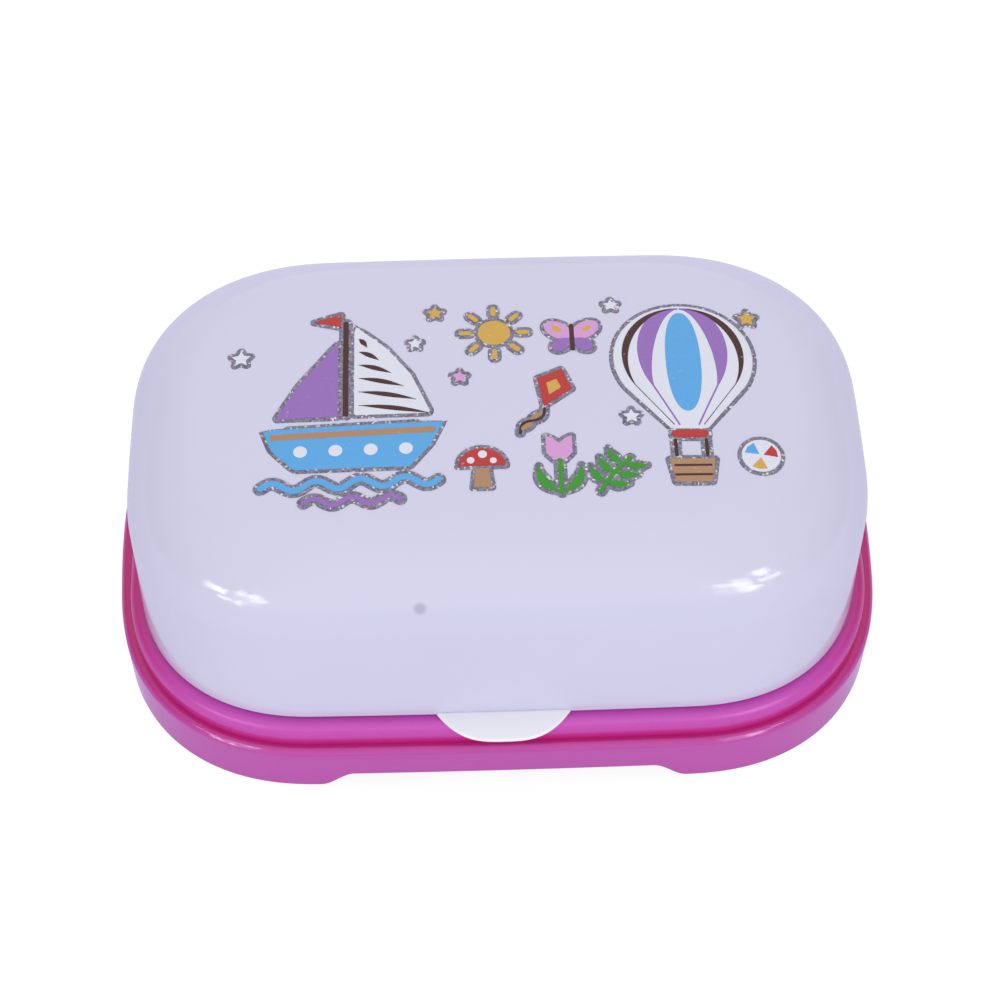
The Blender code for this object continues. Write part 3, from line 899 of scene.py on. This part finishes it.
def draw_balloon(motif):
    """A striped balloon with its basket. A stripe is the rim, drawn in towards the middle."""
    bend = np.radians(np.linspace(88, -32, PATH_STEPS))
    rim = np.concatenate([10.2 * np.column_stack([np.cos(bend), np.sin(bend)]), [(2.6, -13)]])
    middle = np.array([27.4, 5.4])
    motif.pad("white", middle, polygon(np.concatenate([rim, rim[::-1] * (-1, 1)])))
    motif.pad("sky", (27.4, 4.9), oval(2.6, 9.4, 2.2), 2)
    for side in (-1, 1):
        for ink, share, half_width in (("purple", 0.54, 1.3), ("brown", 0.83, 0.55)):
            motif.line(ink, middle + rim * (side * share, 0.94), half_width, 2, True)
        motif.line("brown", bezier([(27.4 + side * 2.2, -9.6), (27.4 + side * 2.2, -12.2)]), 0.25)
    motif.pad("red", (27.4, -8.4), oval(2.6, 0.7, 4))
    motif.pad("tan", (27.4, -14.8), polygon([(-3.3, 2), (3.3, 2), (2.6, -2), (-2.6, -2)]))
    for height in (-14, -15.6):
        motif.line("brown", bezier([(24.9, height), (29.9, height)]), 0.2, 2)


def draw_sun(motif):
    """A sun with eight rays."""
    motif.pad("ochre", (0, 11), oval(2.4, 2.4))
    for angle in np.radians(np.arange(0, 360, 45)):
        way = np.array([np.cos(angle), np.sin(angle)])
        motif.line("ochre", bezier([(0, 11) + 3.7 * way, (0, 11) + 4.8 * way]), 0.4)


def draw_butterfly(motif):
    """A butterfly with four wings."""
    for side in (-1, 1):
        motif.pad("pink", (11.4 + side * 2, 11.2), oval(2.3, 1.5, 2, side * 38))
        motif.pad("purple", (11.4 + side * 1.6, 8.4), oval(1.6, 1.1, 2, side * -40))
        motif.pad("ochre", (11.4 + side * 2.2, 11.4), oval(0.8, 0.5, 2, side * 38), 2)
    motif.line("brown", bezier([(11.4, 12), (11.4, 7.6)]), 0.35, 2)


def draw_kite(motif):
    """A kite with a bowed tail."""
    corners = [(0, 3.6), (2.7, 0.7), (0, -3.9), (-2.7, 0.7)]
    motif.pad("red", (8.2, 0.4), polygon(corners, -22))
    motif.pad("ochre", (8.2, 0.4), 0.42 * polygon(corners, -22), 2)
    motif.line("brown", wave((6.8, -3.6), (3.2, -7.8), 0.7, 1), 0.2)
    for place in ((5.6, -4.9), (4.1, -6.7)):
        motif.pad("tan", place, oval(1.1, 0.4, 2, 35), 1)


def draw_toadstool(motif):
    """A spotted toadstool."""
    motif.pad("tan", (-2.4, -15.3), polygon([(-0.9, 1.6), (0.9, 1.6), (1.3, -1.6), (-1.3, -1.6)]))
    bend = np.radians(np.linspace(0, 180, 13))
    cap = np.column_stack([3.4 * np.cos(bend), 3 * np.sin(bend) - 0.9])
    motif.pad("red", (-2.4, -12.4), polygon(cap))
    for place, size in (((-4, -12.4), 0.55), ((-2.3, -11.4), 0.65), ((-0.8, -12.5), 0.5)):
        motif.pad("white", place, oval(size, size), 2)


def draw_tulip(motif):
    """A tulip with two leaves."""
    motif.line("green", bezier([(8.6, -12.4), (8.7, -18)]), 0.35)
    motif.line("green", bezier([(8.6, -18), (5.4, -16.6), (5.6, -13.6)]), 0.7, 1, True)
    motif.line("green", bezier([(8.8, -18), (11.8, -16.6), (11.6, -13.6)]), 0.7, 1, True)
    half = [(0.9, 1.9), (1.9, 2.4), (1.9, -0.6), (0.8, -1.8)]
    bloom = [(0, 1.1), *half, *((-x, y) for x, y in reversed(half))]
    motif.pad("pink", (8.6, -10.8), polygon(bloom))


def draw_sprig(motif):
    """A leafy sprig."""
    motif.line("green", bezier([(14.2, -18), (16, -14.6), (18.6, -12.6)]), 0.3)
    for index in range(3):
        place = np.array([15, -16.4]) + index * np.array([1.3, 1.5])
        motif.line("green", bezier([place, place + (-1.6, 0.6), place + (-2.1, 2.6)]), 0.6, 1, True)
        motif.line("green", bezier([place, place + (1.6, -0.9), place + (3.3, -0.4)]), 0.6, 1, True)


def draw_ball(motif):
    """A ball in coloured wedges."""
    motif.pad("white", (37.2, -12.4), oval(2.8, 2.8))
    for ink, angle in (("red", 20), ("sky", 140), ("ochre", 260)):
        way = np.radians([angle - 28, angle, angle + 28])
        tip = 1.3 * np.array([np.cos(way[1]), np.sin(way[1])])
        corners = [-0.75 * tip] + [2.4 * np.array([np.cos(one), np.sin(one)]) - tip for one in way]
        motif.pad(ink, (37.2, -12.4) + tip, polygon(corners), 2)


def draw_stars(motif):
    """Small stars between the other motifs."""
    for place, size, ink in (
        ((-37, 7.6), 1.5, "white"),
        ((-8.6, 15.2), 1.3, "ochre"),
        ((-5.2, 2.6), 1.2, "pink"),
        ((17.4, 16), 1.2, "white"),
        ((37.4, 13), 1.5, "ochre"),
        ((19.2, -5.2), 1.3, "white"),
        ((-11.6, 9.2), 1.1, "white"),
    ):
        motif.pad(ink, place, star(size, size / 2, 5))


DRAWINGS = {
    "sailboat": draw_sailboat,
    "balloon": draw_balloon,
    "sun": draw_sun,
    "butterfly": draw_butterfly,
    "kite": draw_kite,
    "toadstool": draw_toadstool,
    "tulip": draw_tulip,
    "sprig": draw_sprig,
    "ball": draw_ball,
    "stars": draw_stars,
}


class Wire:
    """A shader socket that values are worked out from with + - and *: each adds a Math node."""

    def __init__(self, graph, socket):
        self.graph = graph
        self.socket = socket

    def __add__(self, other):
        return self.graph.maths("ADD", self, other)

    def __radd__(self, other):
        return self.graph.maths("ADD", other, self)

    def __sub__(self, other):
        return self.graph.maths("SUBTRACT", self, other)

    def __rsub__(self, other):
        return self.graph.maths("SUBTRACT", other, self)

    def __mul__(self, other):
        return self.graph.maths("MULTIPLY", self, other)

    def __rmul__(self, other):
        return self.graph.maths("MULTIPLY", other, self)


def set_stops(ramp, stops):
    """Gives a colour ramp its stops, with no blend between them."""
    ramp.interpolation = "CONSTANT"
    while len(ramp.elements) < len(stops):
        ramp.elements.new(1)
    for element, (position, colour) in zip(ramp.elements, stops):
        element.position = position
        element.color = colour


class Graph:
    """A node tree: a method that adds any node, and the few that the finishes and the studio share."""

    def __init__(self, tree):
        self.tree = tree

    def link(self, value, socket):
        """Sets a socket to a number, a colour or a vector, or links it."""
        if isinstance(value, Wire):
            self.tree.links.new(value.socket, socket)
        else:
            socket.default_value = value

    def add(self, kind, settings, inputs, output=0):
        """Adds a node: its settings first, then the values or links of its sockets."""
        node = self.tree.nodes.new(kind)
        for key, value in settings.items():
            if key == "stops":
                set_stops(node.color_ramp, value)
            else:
                setattr(node, key, value)
        for key, value in inputs.items():
            self.link(value, node.inputs[key])
        return Wire(self, node.outputs[output])

    def feed(self, name, sockets):
        """Sets or links the sockets of a node that the tree already has."""
        for key, value in sockets.items():
            self.link(value, self.tree.nodes[name].inputs[key])

    def maths(self, operation, first, second=0.0):
        """A Math node on one or two numbers."""
        return self.add("ShaderNodeMath", {"operation": operation}, {0: first, 1: second})

    def vectors(self, operation, first, second=(0, 0, 0), output="Vector"):
        """A Vector Math node on one or two vectors."""
        return self.add("ShaderNodeVectorMath", {"operation": operation}, {0: first, 1: second}, output)

    def smooth(self, value, low, high):
        """0 below low and 1 above high, with a smooth step between; high may be the lower."""
        inputs = {"Value": value, "From Min": low, "From Max": high}
        return self.add("ShaderNodeMapRange", {"interpolation_type": "SMOOTHSTEP"}, inputs)

    def blend(self, factor, first, second):
        """A mix of two colours."""
        settings = {"data_type": "RGBA", "clamp_factor": True}
        return self.add("ShaderNodeMix", settings, {0: factor, 6: first, 7: second}, 2)

    def part(self, vector, axis):
        """One of a vector's X, Y and Z."""
        return self.add("ShaderNodeSeparateXYZ", {}, {0: vector}, axis)

    def place(self, kind="Object"):
        """The place of each point, in the object's own coordinates."""
        return self.add("ShaderNodeTexCoord", {}, {}, kind)

    def attribute(self, name):
        """A number that the mesh holds for each point."""
        return self.add("ShaderNodeAttribute", {"attribute_name": name}, {}, "Fac")

    def ray(self, kind):
        """1 for a ray of that kind, such as Camera."""
        return self.add("ShaderNodeLightPath", {}, {}, f"Is {kind} Ray")

    def noise(self, scale, detail=2.0, place=None):
        """A cloudy noise from 0 to 1."""
        inputs = {"Vector": place or self.place(), "Scale": scale, "Detail": detail}
        return self.add("ShaderNodeTexNoise", {}, inputs, "Fac")

    def flakes(self, size):
        """Three random numbers for each flake of a mosaic, as a vector and one by one."""
        inputs = {"Vector": self.place(), "Scale": 1 / size}
        colour = self.add("ShaderNodeTexVoronoi", {"feature": "F1"}, inputs, "Color")
        parts = [self.add("ShaderNodeSeparateColor", {}, {0: colour}, number) for number in range(3)]
        return colour, parts

    def scratches(self, scale, stretch, turn):
        """Thin bright lines where a noise stretched along one way passes its middle value."""
        scales = (scale, scale / stretch, scale / stretch)
        turned = {"Vector": self.place(), "Rotation": (0, 0, math.radians(turn)), "Scale": scales}
        value = self.noise(1.0, 1.0, self.add("ShaderNodeMapping", {}, turned))
        return self.smooth(self.maths("ABSOLUTE", value - 0.5), SCRATCH_SHARE, 0)

    def bump(self, height, depth):
        """A surface that stands up by a depth where the height is 1."""
        return self.add("ShaderNodeBump", {}, {"Height": height, "Distance": depth}, "Normal")


class Finish(Graph):
    """One material's node tree."""

    def __init__(self, name):
        self.material = bpy.data.materials.new(name)
        self.material.use_nodes = True
        super().__init__(self.material.node_tree)

    def finished(self, sockets):
        """The material, once its shader's sockets are set or linked."""
        self.feed("Principled BSDF", sockets)
        return self.material


def tone(colour, share=1.0):
    """A colour as four numbers, lighter or darker by a share."""
    return (*(min(share * part, 1) for part in colour), 1)


def moulded(name, colour, settings, painted_light_and_marks=None, dulled=None):
    """Glossy moulded plastic: soft clouding in the colour, flow lines, fine wear and hairline scratches.
    marks changes the colour further with painted light and shade, and on the lid the gate's dot; dulled
    is the share of each place that a duller mould shaped."""
    finish = Finish(name)
    clouding = settings.clouding
    base = finish.blend(finish.noise(CLOUD_SCALE), tone(colour, 1 - clouding), tone(colour, 1 + clouding))
    if painted_light_and_marks:
        base = painted_light_and_marks(finish, base, settings)
    wear = finish.smooth(finish.noise(WEAR_SCALE, WEAR_DETAIL), *WEAR_RANGE)
    lines = sum(finish.scratches(SCRATCH_SCALE, SCRATCH_STRETCH, turn) for turn in SCRATCH_TURNS)
    roughness = settings.roughness + settings.wear * (wear + lines)
    if dulled:
        roughness = roughness + dulled(finish) * (settings.dull_roughness - roughness)
    relief = finish.noise(RIPPLE_SCALE, RIPPLE_DETAIL) - lines * SCRATCH_RELIEF_SHARE
    normal = finish.bump(relief, settings.ripple)
    return finish.finished(
        {"Base Color": base, "Roughness": roughness, "Normal": normal, "IOR": PLASTIC_IOR}
    )


def dull_band(finish):
    """The band above the ledge, which is duller than the skirt."""
    return finish.smooth(finish.part(finish.place(), "Z"), ledge_z, shoulder_z - LEDGE_DEPTH)


def base_painted_light(finish, base, settings):
    """Painted light on the base: the band from the ledge up is drawn lighter, a painted highlight for the
    extra light it shows, and the creases beside it are drawn darker and redder, painted shade for the
    shade and the red light that the plastic throws on itself there."""
    # Painted light: everything from the ledge up takes the lighter band colour, for the extra light the
    # band shows
    band = finish.smooth(finish.part(finish.place(), "Z"), ledge_low_z - SKIRT_ROLL, ledge_z)
    base = finish.blend(band, base, tone(settings.band_lit_colour))
    # Painted shade: the creases take the darker, redder crease colour by the crease attribute
    return finish.blend(finish.attribute("crease"), base, tone(settings.crease_shade_colour))


def lid_tab_light_and_gate(finish, base, settings):
    """Painted light on the tab, which is drawn lighter for the light that passes through its thin solid
    plastic while the hollow dome behind the rest of the lid looks greyer; and the gate's grey dot.
    """
    place = finish.place()
    # Painted light: the tab takes the lighter tab colour
    tab = finish.smooth(finish.part(place, "Y"), -lid_rear_y, -lid_rear_y - TAB_EDGE_ROUND)
    base = finish.blend(tab, base, tone(settings.tab_lit_colour))
    distance = finish.vectors("DISTANCE", place, GATE_PLACE, "Value")
    dot = finish.smooth(distance, GATE_RADIUS, GATE_RADIUS * GATE_CORE_SHARE)
    return finish.blend(dot, base, tone(settings.lid_colour, GATE_TONE_SHARE))


def foil_finish(settings):
    """Silver foil full of glitter: each flake has its own brightness, and one in a few its own hue."""
    finish = Finish("glitter_foil")
    flakes, (pick, hue, shade_share) = finish.flakes(settings.flake)
    silver = finish.blend(shade_share, tone(settings.foil_dark), tone(settings.foil_light))
    stops = [(start, tone(colour)) for start, colour in GLINT_HUES]
    hues = finish.add("ShaderNodeValToRGB", {"stops": stops}, {0: hue})
    bright = finish.smooth(pick, 1 - settings.glint_share, 1 - settings.glint_share + GLINT_EDGE)
    tilt = finish.vectors("SUBTRACT", flakes, (0.5, 0.5, 0.5))
    tilt = finish.vectors("MULTIPLY", tilt, (FLAKE_TILT, FLAKE_TILT, FLAKE_TILT))
    normal = finish.add("ShaderNodeNewGeometry", {}, {}, "Normal")
    smoothest, rougher = FLAKE_ROUGHNESS
    return finish.finished(
        {
            "Base Color": finish.blend(bright, silver, hues),
            "Metallic": FOIL_METAL - FOIL_METAL * bright,
            "Roughness": smoothest + rougher * hue,
            "Normal": finish.vectors("NORMALIZE", finish.vectors("ADD", normal, tilt)),
        }
    )


def ink_finish(name, colour, settings):
    """Gloss ink over foil: a slight mottle, and a few flakes that glint through."""
    finish = Finish(f"{name}_ink")
    mottle = finish.noise(MOTTLE_SCALE, MOTTLE_DETAIL)
    base = finish.blend(mottle, tone(colour, 1 - settings.mottle), tone(colour, 1 + settings.mottle))
    pick = finish.flakes(settings.flake)[1][0]
    glint = finish.smooth(pick, 1 - settings.show_through, 1) * GLINT_THROUGH_SHARE
    return finish.finished(
        {
            "Base Color": finish.blend(glint, base, tone(GLINT_HUES[0][1])),
            "Roughness": INK_ROUGHNESS + MOTTLE_ROUGHNESS * mottle,
            "Normal": finish.bump(finish.noise(INK_RIPPLE_SCALE, RIPPLE_DETAIL), settings.ink_ripple),
        }
    )


def towards(azimuth, elevation):
    """The unit vector at an azimuth from the front towards +X and at an elevation: sideways and
    forwards by their sine and cosine times cos e, and up by sin e."""
    level = math.cos(elevation)
    return Vector((math.sin(azimuth) * level, -math.cos(azimuth) * level, math.sin(elevation)))


def place_camera(settings):
    """A camera that looks at the target from its azimuth and elevation."""
    back = towards(settings.azimuth, settings.elevation)
    right = Vector((0, 0, 1)).cross(back).normalized()
    turned = Matrix((right, back.cross(right), back)).transposed() @ Matrix.Rotation(settings.roll, 3, "Z")
    data = bpy.data.cameras.new("camera")
    data.sensor_width = SENSOR_WIDTH
    data.lens = settings.lens
    camera = bpy.data.objects.new("camera", data)
    place = Vector(settings.target) + back * settings.distance
    camera.matrix_world = Matrix.Translation(place) @ turned.to_4x4()
    bpy.context.scene.collection.objects.link(camera)
    bpy.context.scene.camera = camera


def place_softbox(name, azimuths, elevations, brightness, settings):
    """A soft lamp that fills a range of azimuths and elevations as seen from the lid's front shoulder.
    Only the fill lights the dish, from behind the others, which make its highlights."""
    fills = name == "front_fill"
    away = settings.lamp_distance * (1 + fills)
    data = bpy.data.lights.new(name, "AREA")
    data.shape = "RECTANGLE"
    data.size, data.size_y = (
        2 * away * math.tan(math.radians(high - low) / 2) for low, high in (azimuths, elevations)
    )
    data.energy = math.pi * brightness * settings.light * data.size * data.size_y
    back = towards(*(math.radians(low + high) / 2 for low, high in (azimuths, elevations)))
    turned = back.to_track_quat("Z", "Y").to_matrix()
    lamp = bpy.data.objects.new(name, data)
    lamp.matrix_world = Matrix.Translation(Vector(LAMP_TARGET) + back * away) @ turned.to_4x4()
    lamp.visible_camera = False
    lamp.visible_diffuse = fills
    lamp.visible_glossy = not fills
    bpy.context.scene.collection.objects.link(lamp)


def light_world(settings):
    """Light that falls off to the left and right by the square of the direction's x, a little less
    where it is mirrored, and plain white where it is seen."""
    world = bpy.data.worlds.new("studio")
    world.use_nodes = True
    bpy.context.scene.world = world
    graph = Graph(world.node_tree)
    sideways = graph.part(graph.place("Generated"), "X")
    aside = sideways * sideways
    light = settings.world_light - aside * settings.side_fall
    light = light + mirrored(graph) * (1 - aside * settings.mirror_fall - light)
    light = light + graph.ray("Camera") * (1 - light)
    graph.feed("Background", {"Color": (1, 1, 1, 1), "Strength": light})


def mirrored(graph):
    """1 for a ray that a glossy surface has mirrored or a clear one let through."""
    return graph.maths("MAXIMUM", graph.ray("Glossy"), graph.ray("Transmission"))


def lay_floor(settings):
    """A wide pale floor that keeps the object's shadow and otherwise shows white."""
    corners = FLOOR_REACH * np.array([(-1, -1, 0), (1, -1, 0), (1, 1, 0), (-1, 1, 0)])
    floor = build("floor", [(corners, [np.arange(4)[None]])])
    finish = Finish("floor")
    finish.finished(
        {"Base Color": tone(settings.floor_colour), "Roughness": 1.0, "Specular IOR Level": 0.0}
    )
    mixed = Wire(finish, finish.tree.nodes["Principled BSDF"].outputs[0])
    for share, colour, strength in (
        (finish.ray("Camera") * settings.floor_seen, (1, 1, 1, 1), settings.floor_glow),
        (mirrored(finish) * settings.floor_mirrored, tone(settings.floor_mirror_colour), 1),
    ):
        glow = finish.add("ShaderNodeEmission", {}, {"Color": colour, "Strength": strength})
        mixed = finish.add("ShaderNodeMixShader", {}, {0: share, 1: mixed, 2: glow})
    finish.feed("Material Output", {"Surface": mixed})
    floor.data.materials.append(finish.material)


def colour_property(name, description, default):
    """A colour of a material."""
    kind = {"subtype": "COLOR", "size": 3, "min": 0, "max": 1}
    return FloatVectorProperty(name=name, description=description, default=default, **kind)


def length_property(name, description, default):
    """A length in metres, shown in the scene's unit."""
    kind = {"min": 0, "unit": "LENGTH", "precision": 5}
    return FloatProperty(name=name, description=description, default=default, **kind)


def angle_property(name, description, degrees):
    """An angle whose default is given in degrees."""
    return FloatProperty(name=name, description=description, default=math.radians(degrees), subtype="ANGLE")


def share_property(name, description, default):
    """A share from 0 to 1."""
    kind = {"min": 0, "max": 1, "subtype": "FACTOR"}
    return FloatProperty(name=name, description=description, default=default, **kind)


def amount_property(name, description, default):
    """A plain number that isn't negative."""
    return FloatProperty(name=name, description=description, default=default, min=0)


class PlasticSettings(bpy.types.PropertyGroup):
    """Colours and finish of the moulded pieces."""

    base_colour: colour_property("Base", "Colour of the base", srgb(193, 77, 176))
    # Painted light: the lighter colour painted on the band for the light it shows
    band_lit_colour: colour_property("Band", "Colour of the base's thin band", srgb(205, 77, 190))
    # Painted shade: the darker, redder colour painted into the creases
    crease_shade_colour: colour_property("Crease", "Colour of the crease above the skirt", srgb(194, 24, 120))
    lid_colour: colour_property("Lid", "Colour of the domed lid", srgb(214, 213, 238))
    # Painted light: the lighter colour painted on the tab for the light that passes through it
    tab_lit_colour: colour_property("Tab", "Colour of the lid's solid thumb tab", srgb(251, 250, 255))
    tray_colour: colour_property("Tray", "Colour of the slotted tray", srgb(222, 221, 236))
    pin_colour: colour_property("Pins", "Colour of the hinge pins", srgb(205, 204, 218))
    roughness: share_property("Roughness", "Roughness of clean moulded plastic", 0.09)
    wear: share_property("Wear", "Roughness that handling adds", 0.08)
    dull_roughness: share_property("Dull roughness", "Roughness of the base's duller band", 0.3)
    clouding: share_property("Clouding", "How far the colour varies over a piece", 0.015)
    ripple: length_property("Ripple", "Depth of the faint ripple that moulding leaves", 0.00002)


class StickerSettings(bpy.types.PropertyGroup):
    """Sizes and colours of the foil stickers."""

    foil_height: length_property("Foil height", "How far the foil stands above the lid", 0.0001)
    ink_height: length_property("Ink height", "How far an ink stands above the foil", 0.00008)
    border: length_property("Border", "Width of the foil that shows round an ink", 0.0006)
    flake: length_property("Flake", "Size of one glitter flake", 0.0003)
    foil_dark: colour_property("Dark flakes", "Colour of the darkest flakes", srgb(108, 105, 126))
    foil_light: colour_property("Light flakes", "Colour of the plain light flakes", srgb(152, 150, 170))
    glint_share: share_property("Glints", "Share of the flakes that glint", 0.1)
    show_through: share_property("Show-through", "Share of the flakes that show through an ink", 0.008)
    mottle: share_property("Mottle", "How far an ink's colour varies", 0.03)
    ink_ripple: length_property("Ink ripple", "Depth of the ripple in an ink", 0.00002)
    sky: colour_property("Sky blue", "Sky blue ink", srgb(88, 170, 233))
    purple: colour_property("Purple", "Purple ink", srgb(152, 108, 190))
    brown: colour_property("Brown", "Dark brown ink", srgb(66, 20, 14))
    red: colour_property("Red", "Red ink", srgb(190, 45, 42))
    tan: colour_property("Tan", "Tan ink", srgb(178, 136, 100))
    green: colour_property("Green", "Green ink", srgb(50, 150, 30))
    pink: colour_property("Pink", "Pink ink", srgb(218, 158, 216))
    ochre: colour_property("Ochre", "Ochre ink", srgb(214, 170, 72))
    white: colour_property("White", "White ink", srgb(226, 228, 243))


class StageSettings(bpy.types.PropertyGroup):
    """The camera, the lamps and the floor."""

    azimuth: angle_property("Azimuth", "How far the camera stands to the right", -1.83)
    elevation: angle_property("Elevation", "How far the camera looks down", 53.73)
    roll: angle_property("Roll", "How far the camera leans", -0.01)
    distance: length_property("Distance", "From the camera to its target", 0.38159)
    target: FloatVectorProperty(
        name="Target",
        description="What the camera looks at",
        default=(0.00062, 0.00448, 0.015),
        subtype="TRANSLATION",
    )
    lens: amount_property("Lens", "Focal length in millimetres", 88.16)
    light: share_property("Lamps", "Brightness of the softboxes", 1.0)
    lamp_distance: length_property("Lamp distance", "From the lid to the softboxes", 1.2)
    world_light: amount_property("World light", "Brightness of the studio's light", 1.15)
    side_fall: share_property("Side fall", "How much less light comes from the left and right", 1.0)
    mirror_fall: share_property("Mirror fall", "How much less of it mirrors from there", 0.8)
    floor_colour: colour_property("Floor", "Colour of the floor", srgb(243, 243, 243))
    floor_glow: amount_property("Floor glow", "Brightness of the white share", 1.16)
    floor_seen: share_property("Floor seen", "Share of the floor that looks plain white", 0.75)
    floor_mirrored: share_property("Floor mirrored", "Share of the floor that mirrors plainly", 0.6)
    floor_mirror_colour: colour_property("Mirrored floor", "Colour of that share", srgb(203, 195, 245))


class MouldBase(bpy.types.Operator):
    """Makes the base moulding: a skirt on four corner feet, a rounded band, a lip, a tub and ears"""

    bl_idname = "soap_dish.mould_base"
    bl_label = "Mould the base"

    def execute(self, context):
        settings = context.scene.soap_plastic
        piece = base_piece()
        plastic = moulded("base_plastic", settings.base_colour, settings, base_painted_light, dull_band)
        piece.data.materials.append(plastic)
        shade(piece)
        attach(piece, "base")
        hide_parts("base_shell")
        return {"FINISHED"}


class MouldLid(bpy.types.Operator):
    """Makes the domed lid with its thumb tab and hinge arms"""

    bl_idname = "soap_dish.mould_lid"
    bl_label = "Mould the lid"

    def execute(self, context):
        settings = context.scene.soap_plastic
        piece = lid_piece()
        piece.data.materials.append(moulded("lid_plastic", settings.lid_colour, settings, lid_tab_light_and_gate))
        shade(piece)
        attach(piece, "lid")
        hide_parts("lid_shell")
        return {"FINISHED"}


class MouldTray(bpy.types.Operator):
    """Makes the slotted tray that the soap lies on"""

    bl_idname = "soap_dish.mould_tray"
    bl_label = "Mould the tray"

    def execute(self, context):
        settings = context.scene.soap_plastic
        piece = tray_piece()
        piece.data.materials.append(moulded("tray_plastic", settings.tray_colour, settings))
        shade(piece)
        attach(piece, "tray")
        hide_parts("soap_tray")
        return {"FINISHED"}


class TurnPins(bpy.types.Operator):
    """Makes the two hinge pins"""

    bl_idname = "soap_dish.turn_pins"
    bl_label = "Turn the pins"

    def execute(self, context):
        settings = context.scene.soap_plastic
        material = moulded("pin_plastic", settings.pin_colour, settings)
        for side, middle in zip(("left", "right"), hinge_middles()):
            piece = pin_piece(f"{side}_pin", middle)
            piece.data.materials.append(material)
            shade(piece)
            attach(piece, "base")
            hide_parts(f"hinge_pin_{side}")
        return {"FINISHED"}


class ApplyStickers(bpy.types.Operator):
    """Lays the foil stickers on the lid's crown"""

    bl_idname = "soap_dish.apply_stickers"
    bl_label = "Apply the stickers"

    def execute(self, context):
        settings = context.scene.soap_stickers
        finishes = {"foil": foil_finish(settings)}
        for ink in INKS:
            finishes[ink] = ink_finish(ink, getattr(settings, ink), settings)
        for name, draw in DRAWINGS.items():
            motif = Motif(name, settings)
            draw(motif)
            motif.made(finishes)
        return {"FINISHED"}


class SetStage(bpy.types.Operator):
    """Sets up the floor, the lamps and the camera"""

    bl_idname = "soap_dish.set_stage"
    bl_label = "Set the stage"

    def execute(self, context):
        settings = context.scene.soap_stage
        context.scene.view_settings.view_transform = "Standard"
        light_world(settings)
        lay_floor(settings)
        for name, (azimuths, elevations, brightness) in SOFTBOXES.items():
            place_softbox(name, azimuths, elevations, brightness, settings)
        place_camera(settings)
        return {"FINISHED"}


OPERATORS = (MouldBase, MouldLid, MouldTray, TurnPins, ApplyStickers, SetStage)
SETTINGS = {
    "soap_plastic": PlasticSettings,
    "soap_stickers": StickerSettings,
    "soap_stage": StageSettings,
}


class SoapDishPanel(bpy.types.Panel):
    """Lists the sizes, the colours and the steps"""

    bl_idname = "VIEW3D_PT_soap_dish"
    bl_label = "Soap dish"
    bl_space_type = "VIEW_3D"
    bl_region_type = "UI"
    bl_category = "Soap dish"

    def draw(self, context):
        for operator in OPERATORS:
            self.layout.operator(operator.bl_idname)
        for name in SETTINGS:
            box = self.layout.box()
            settings = getattr(context.scene, name)
            for key in settings.__annotations__:
                box.prop(settings, key)


CLASSES = (*SETTINGS.values(), *OPERATORS, SoapDishPanel)


def register():
    """Adds the settings, the steps and the panel."""
    for made in CLASSES:
        bpy.utils.register_class(made)
    for name, group in SETTINGS.items():
        setattr(bpy.types.Scene, name, PointerProperty(type=group))


def unregister():
    """Takes them away again."""
    for name in SETTINGS:
        delattr(bpy.types.Scene, name)
    for made in reversed(CLASSES):
        bpy.utils.unregister_class(made)


def main():
    """Makes the dish and its stage."""
    register()
    for operator in OPERATORS:
        name = operator.bl_idname.split(".")[1]
        getattr(bpy.ops.soap_dish, name)()


if __name__ == "__main__":
    main()
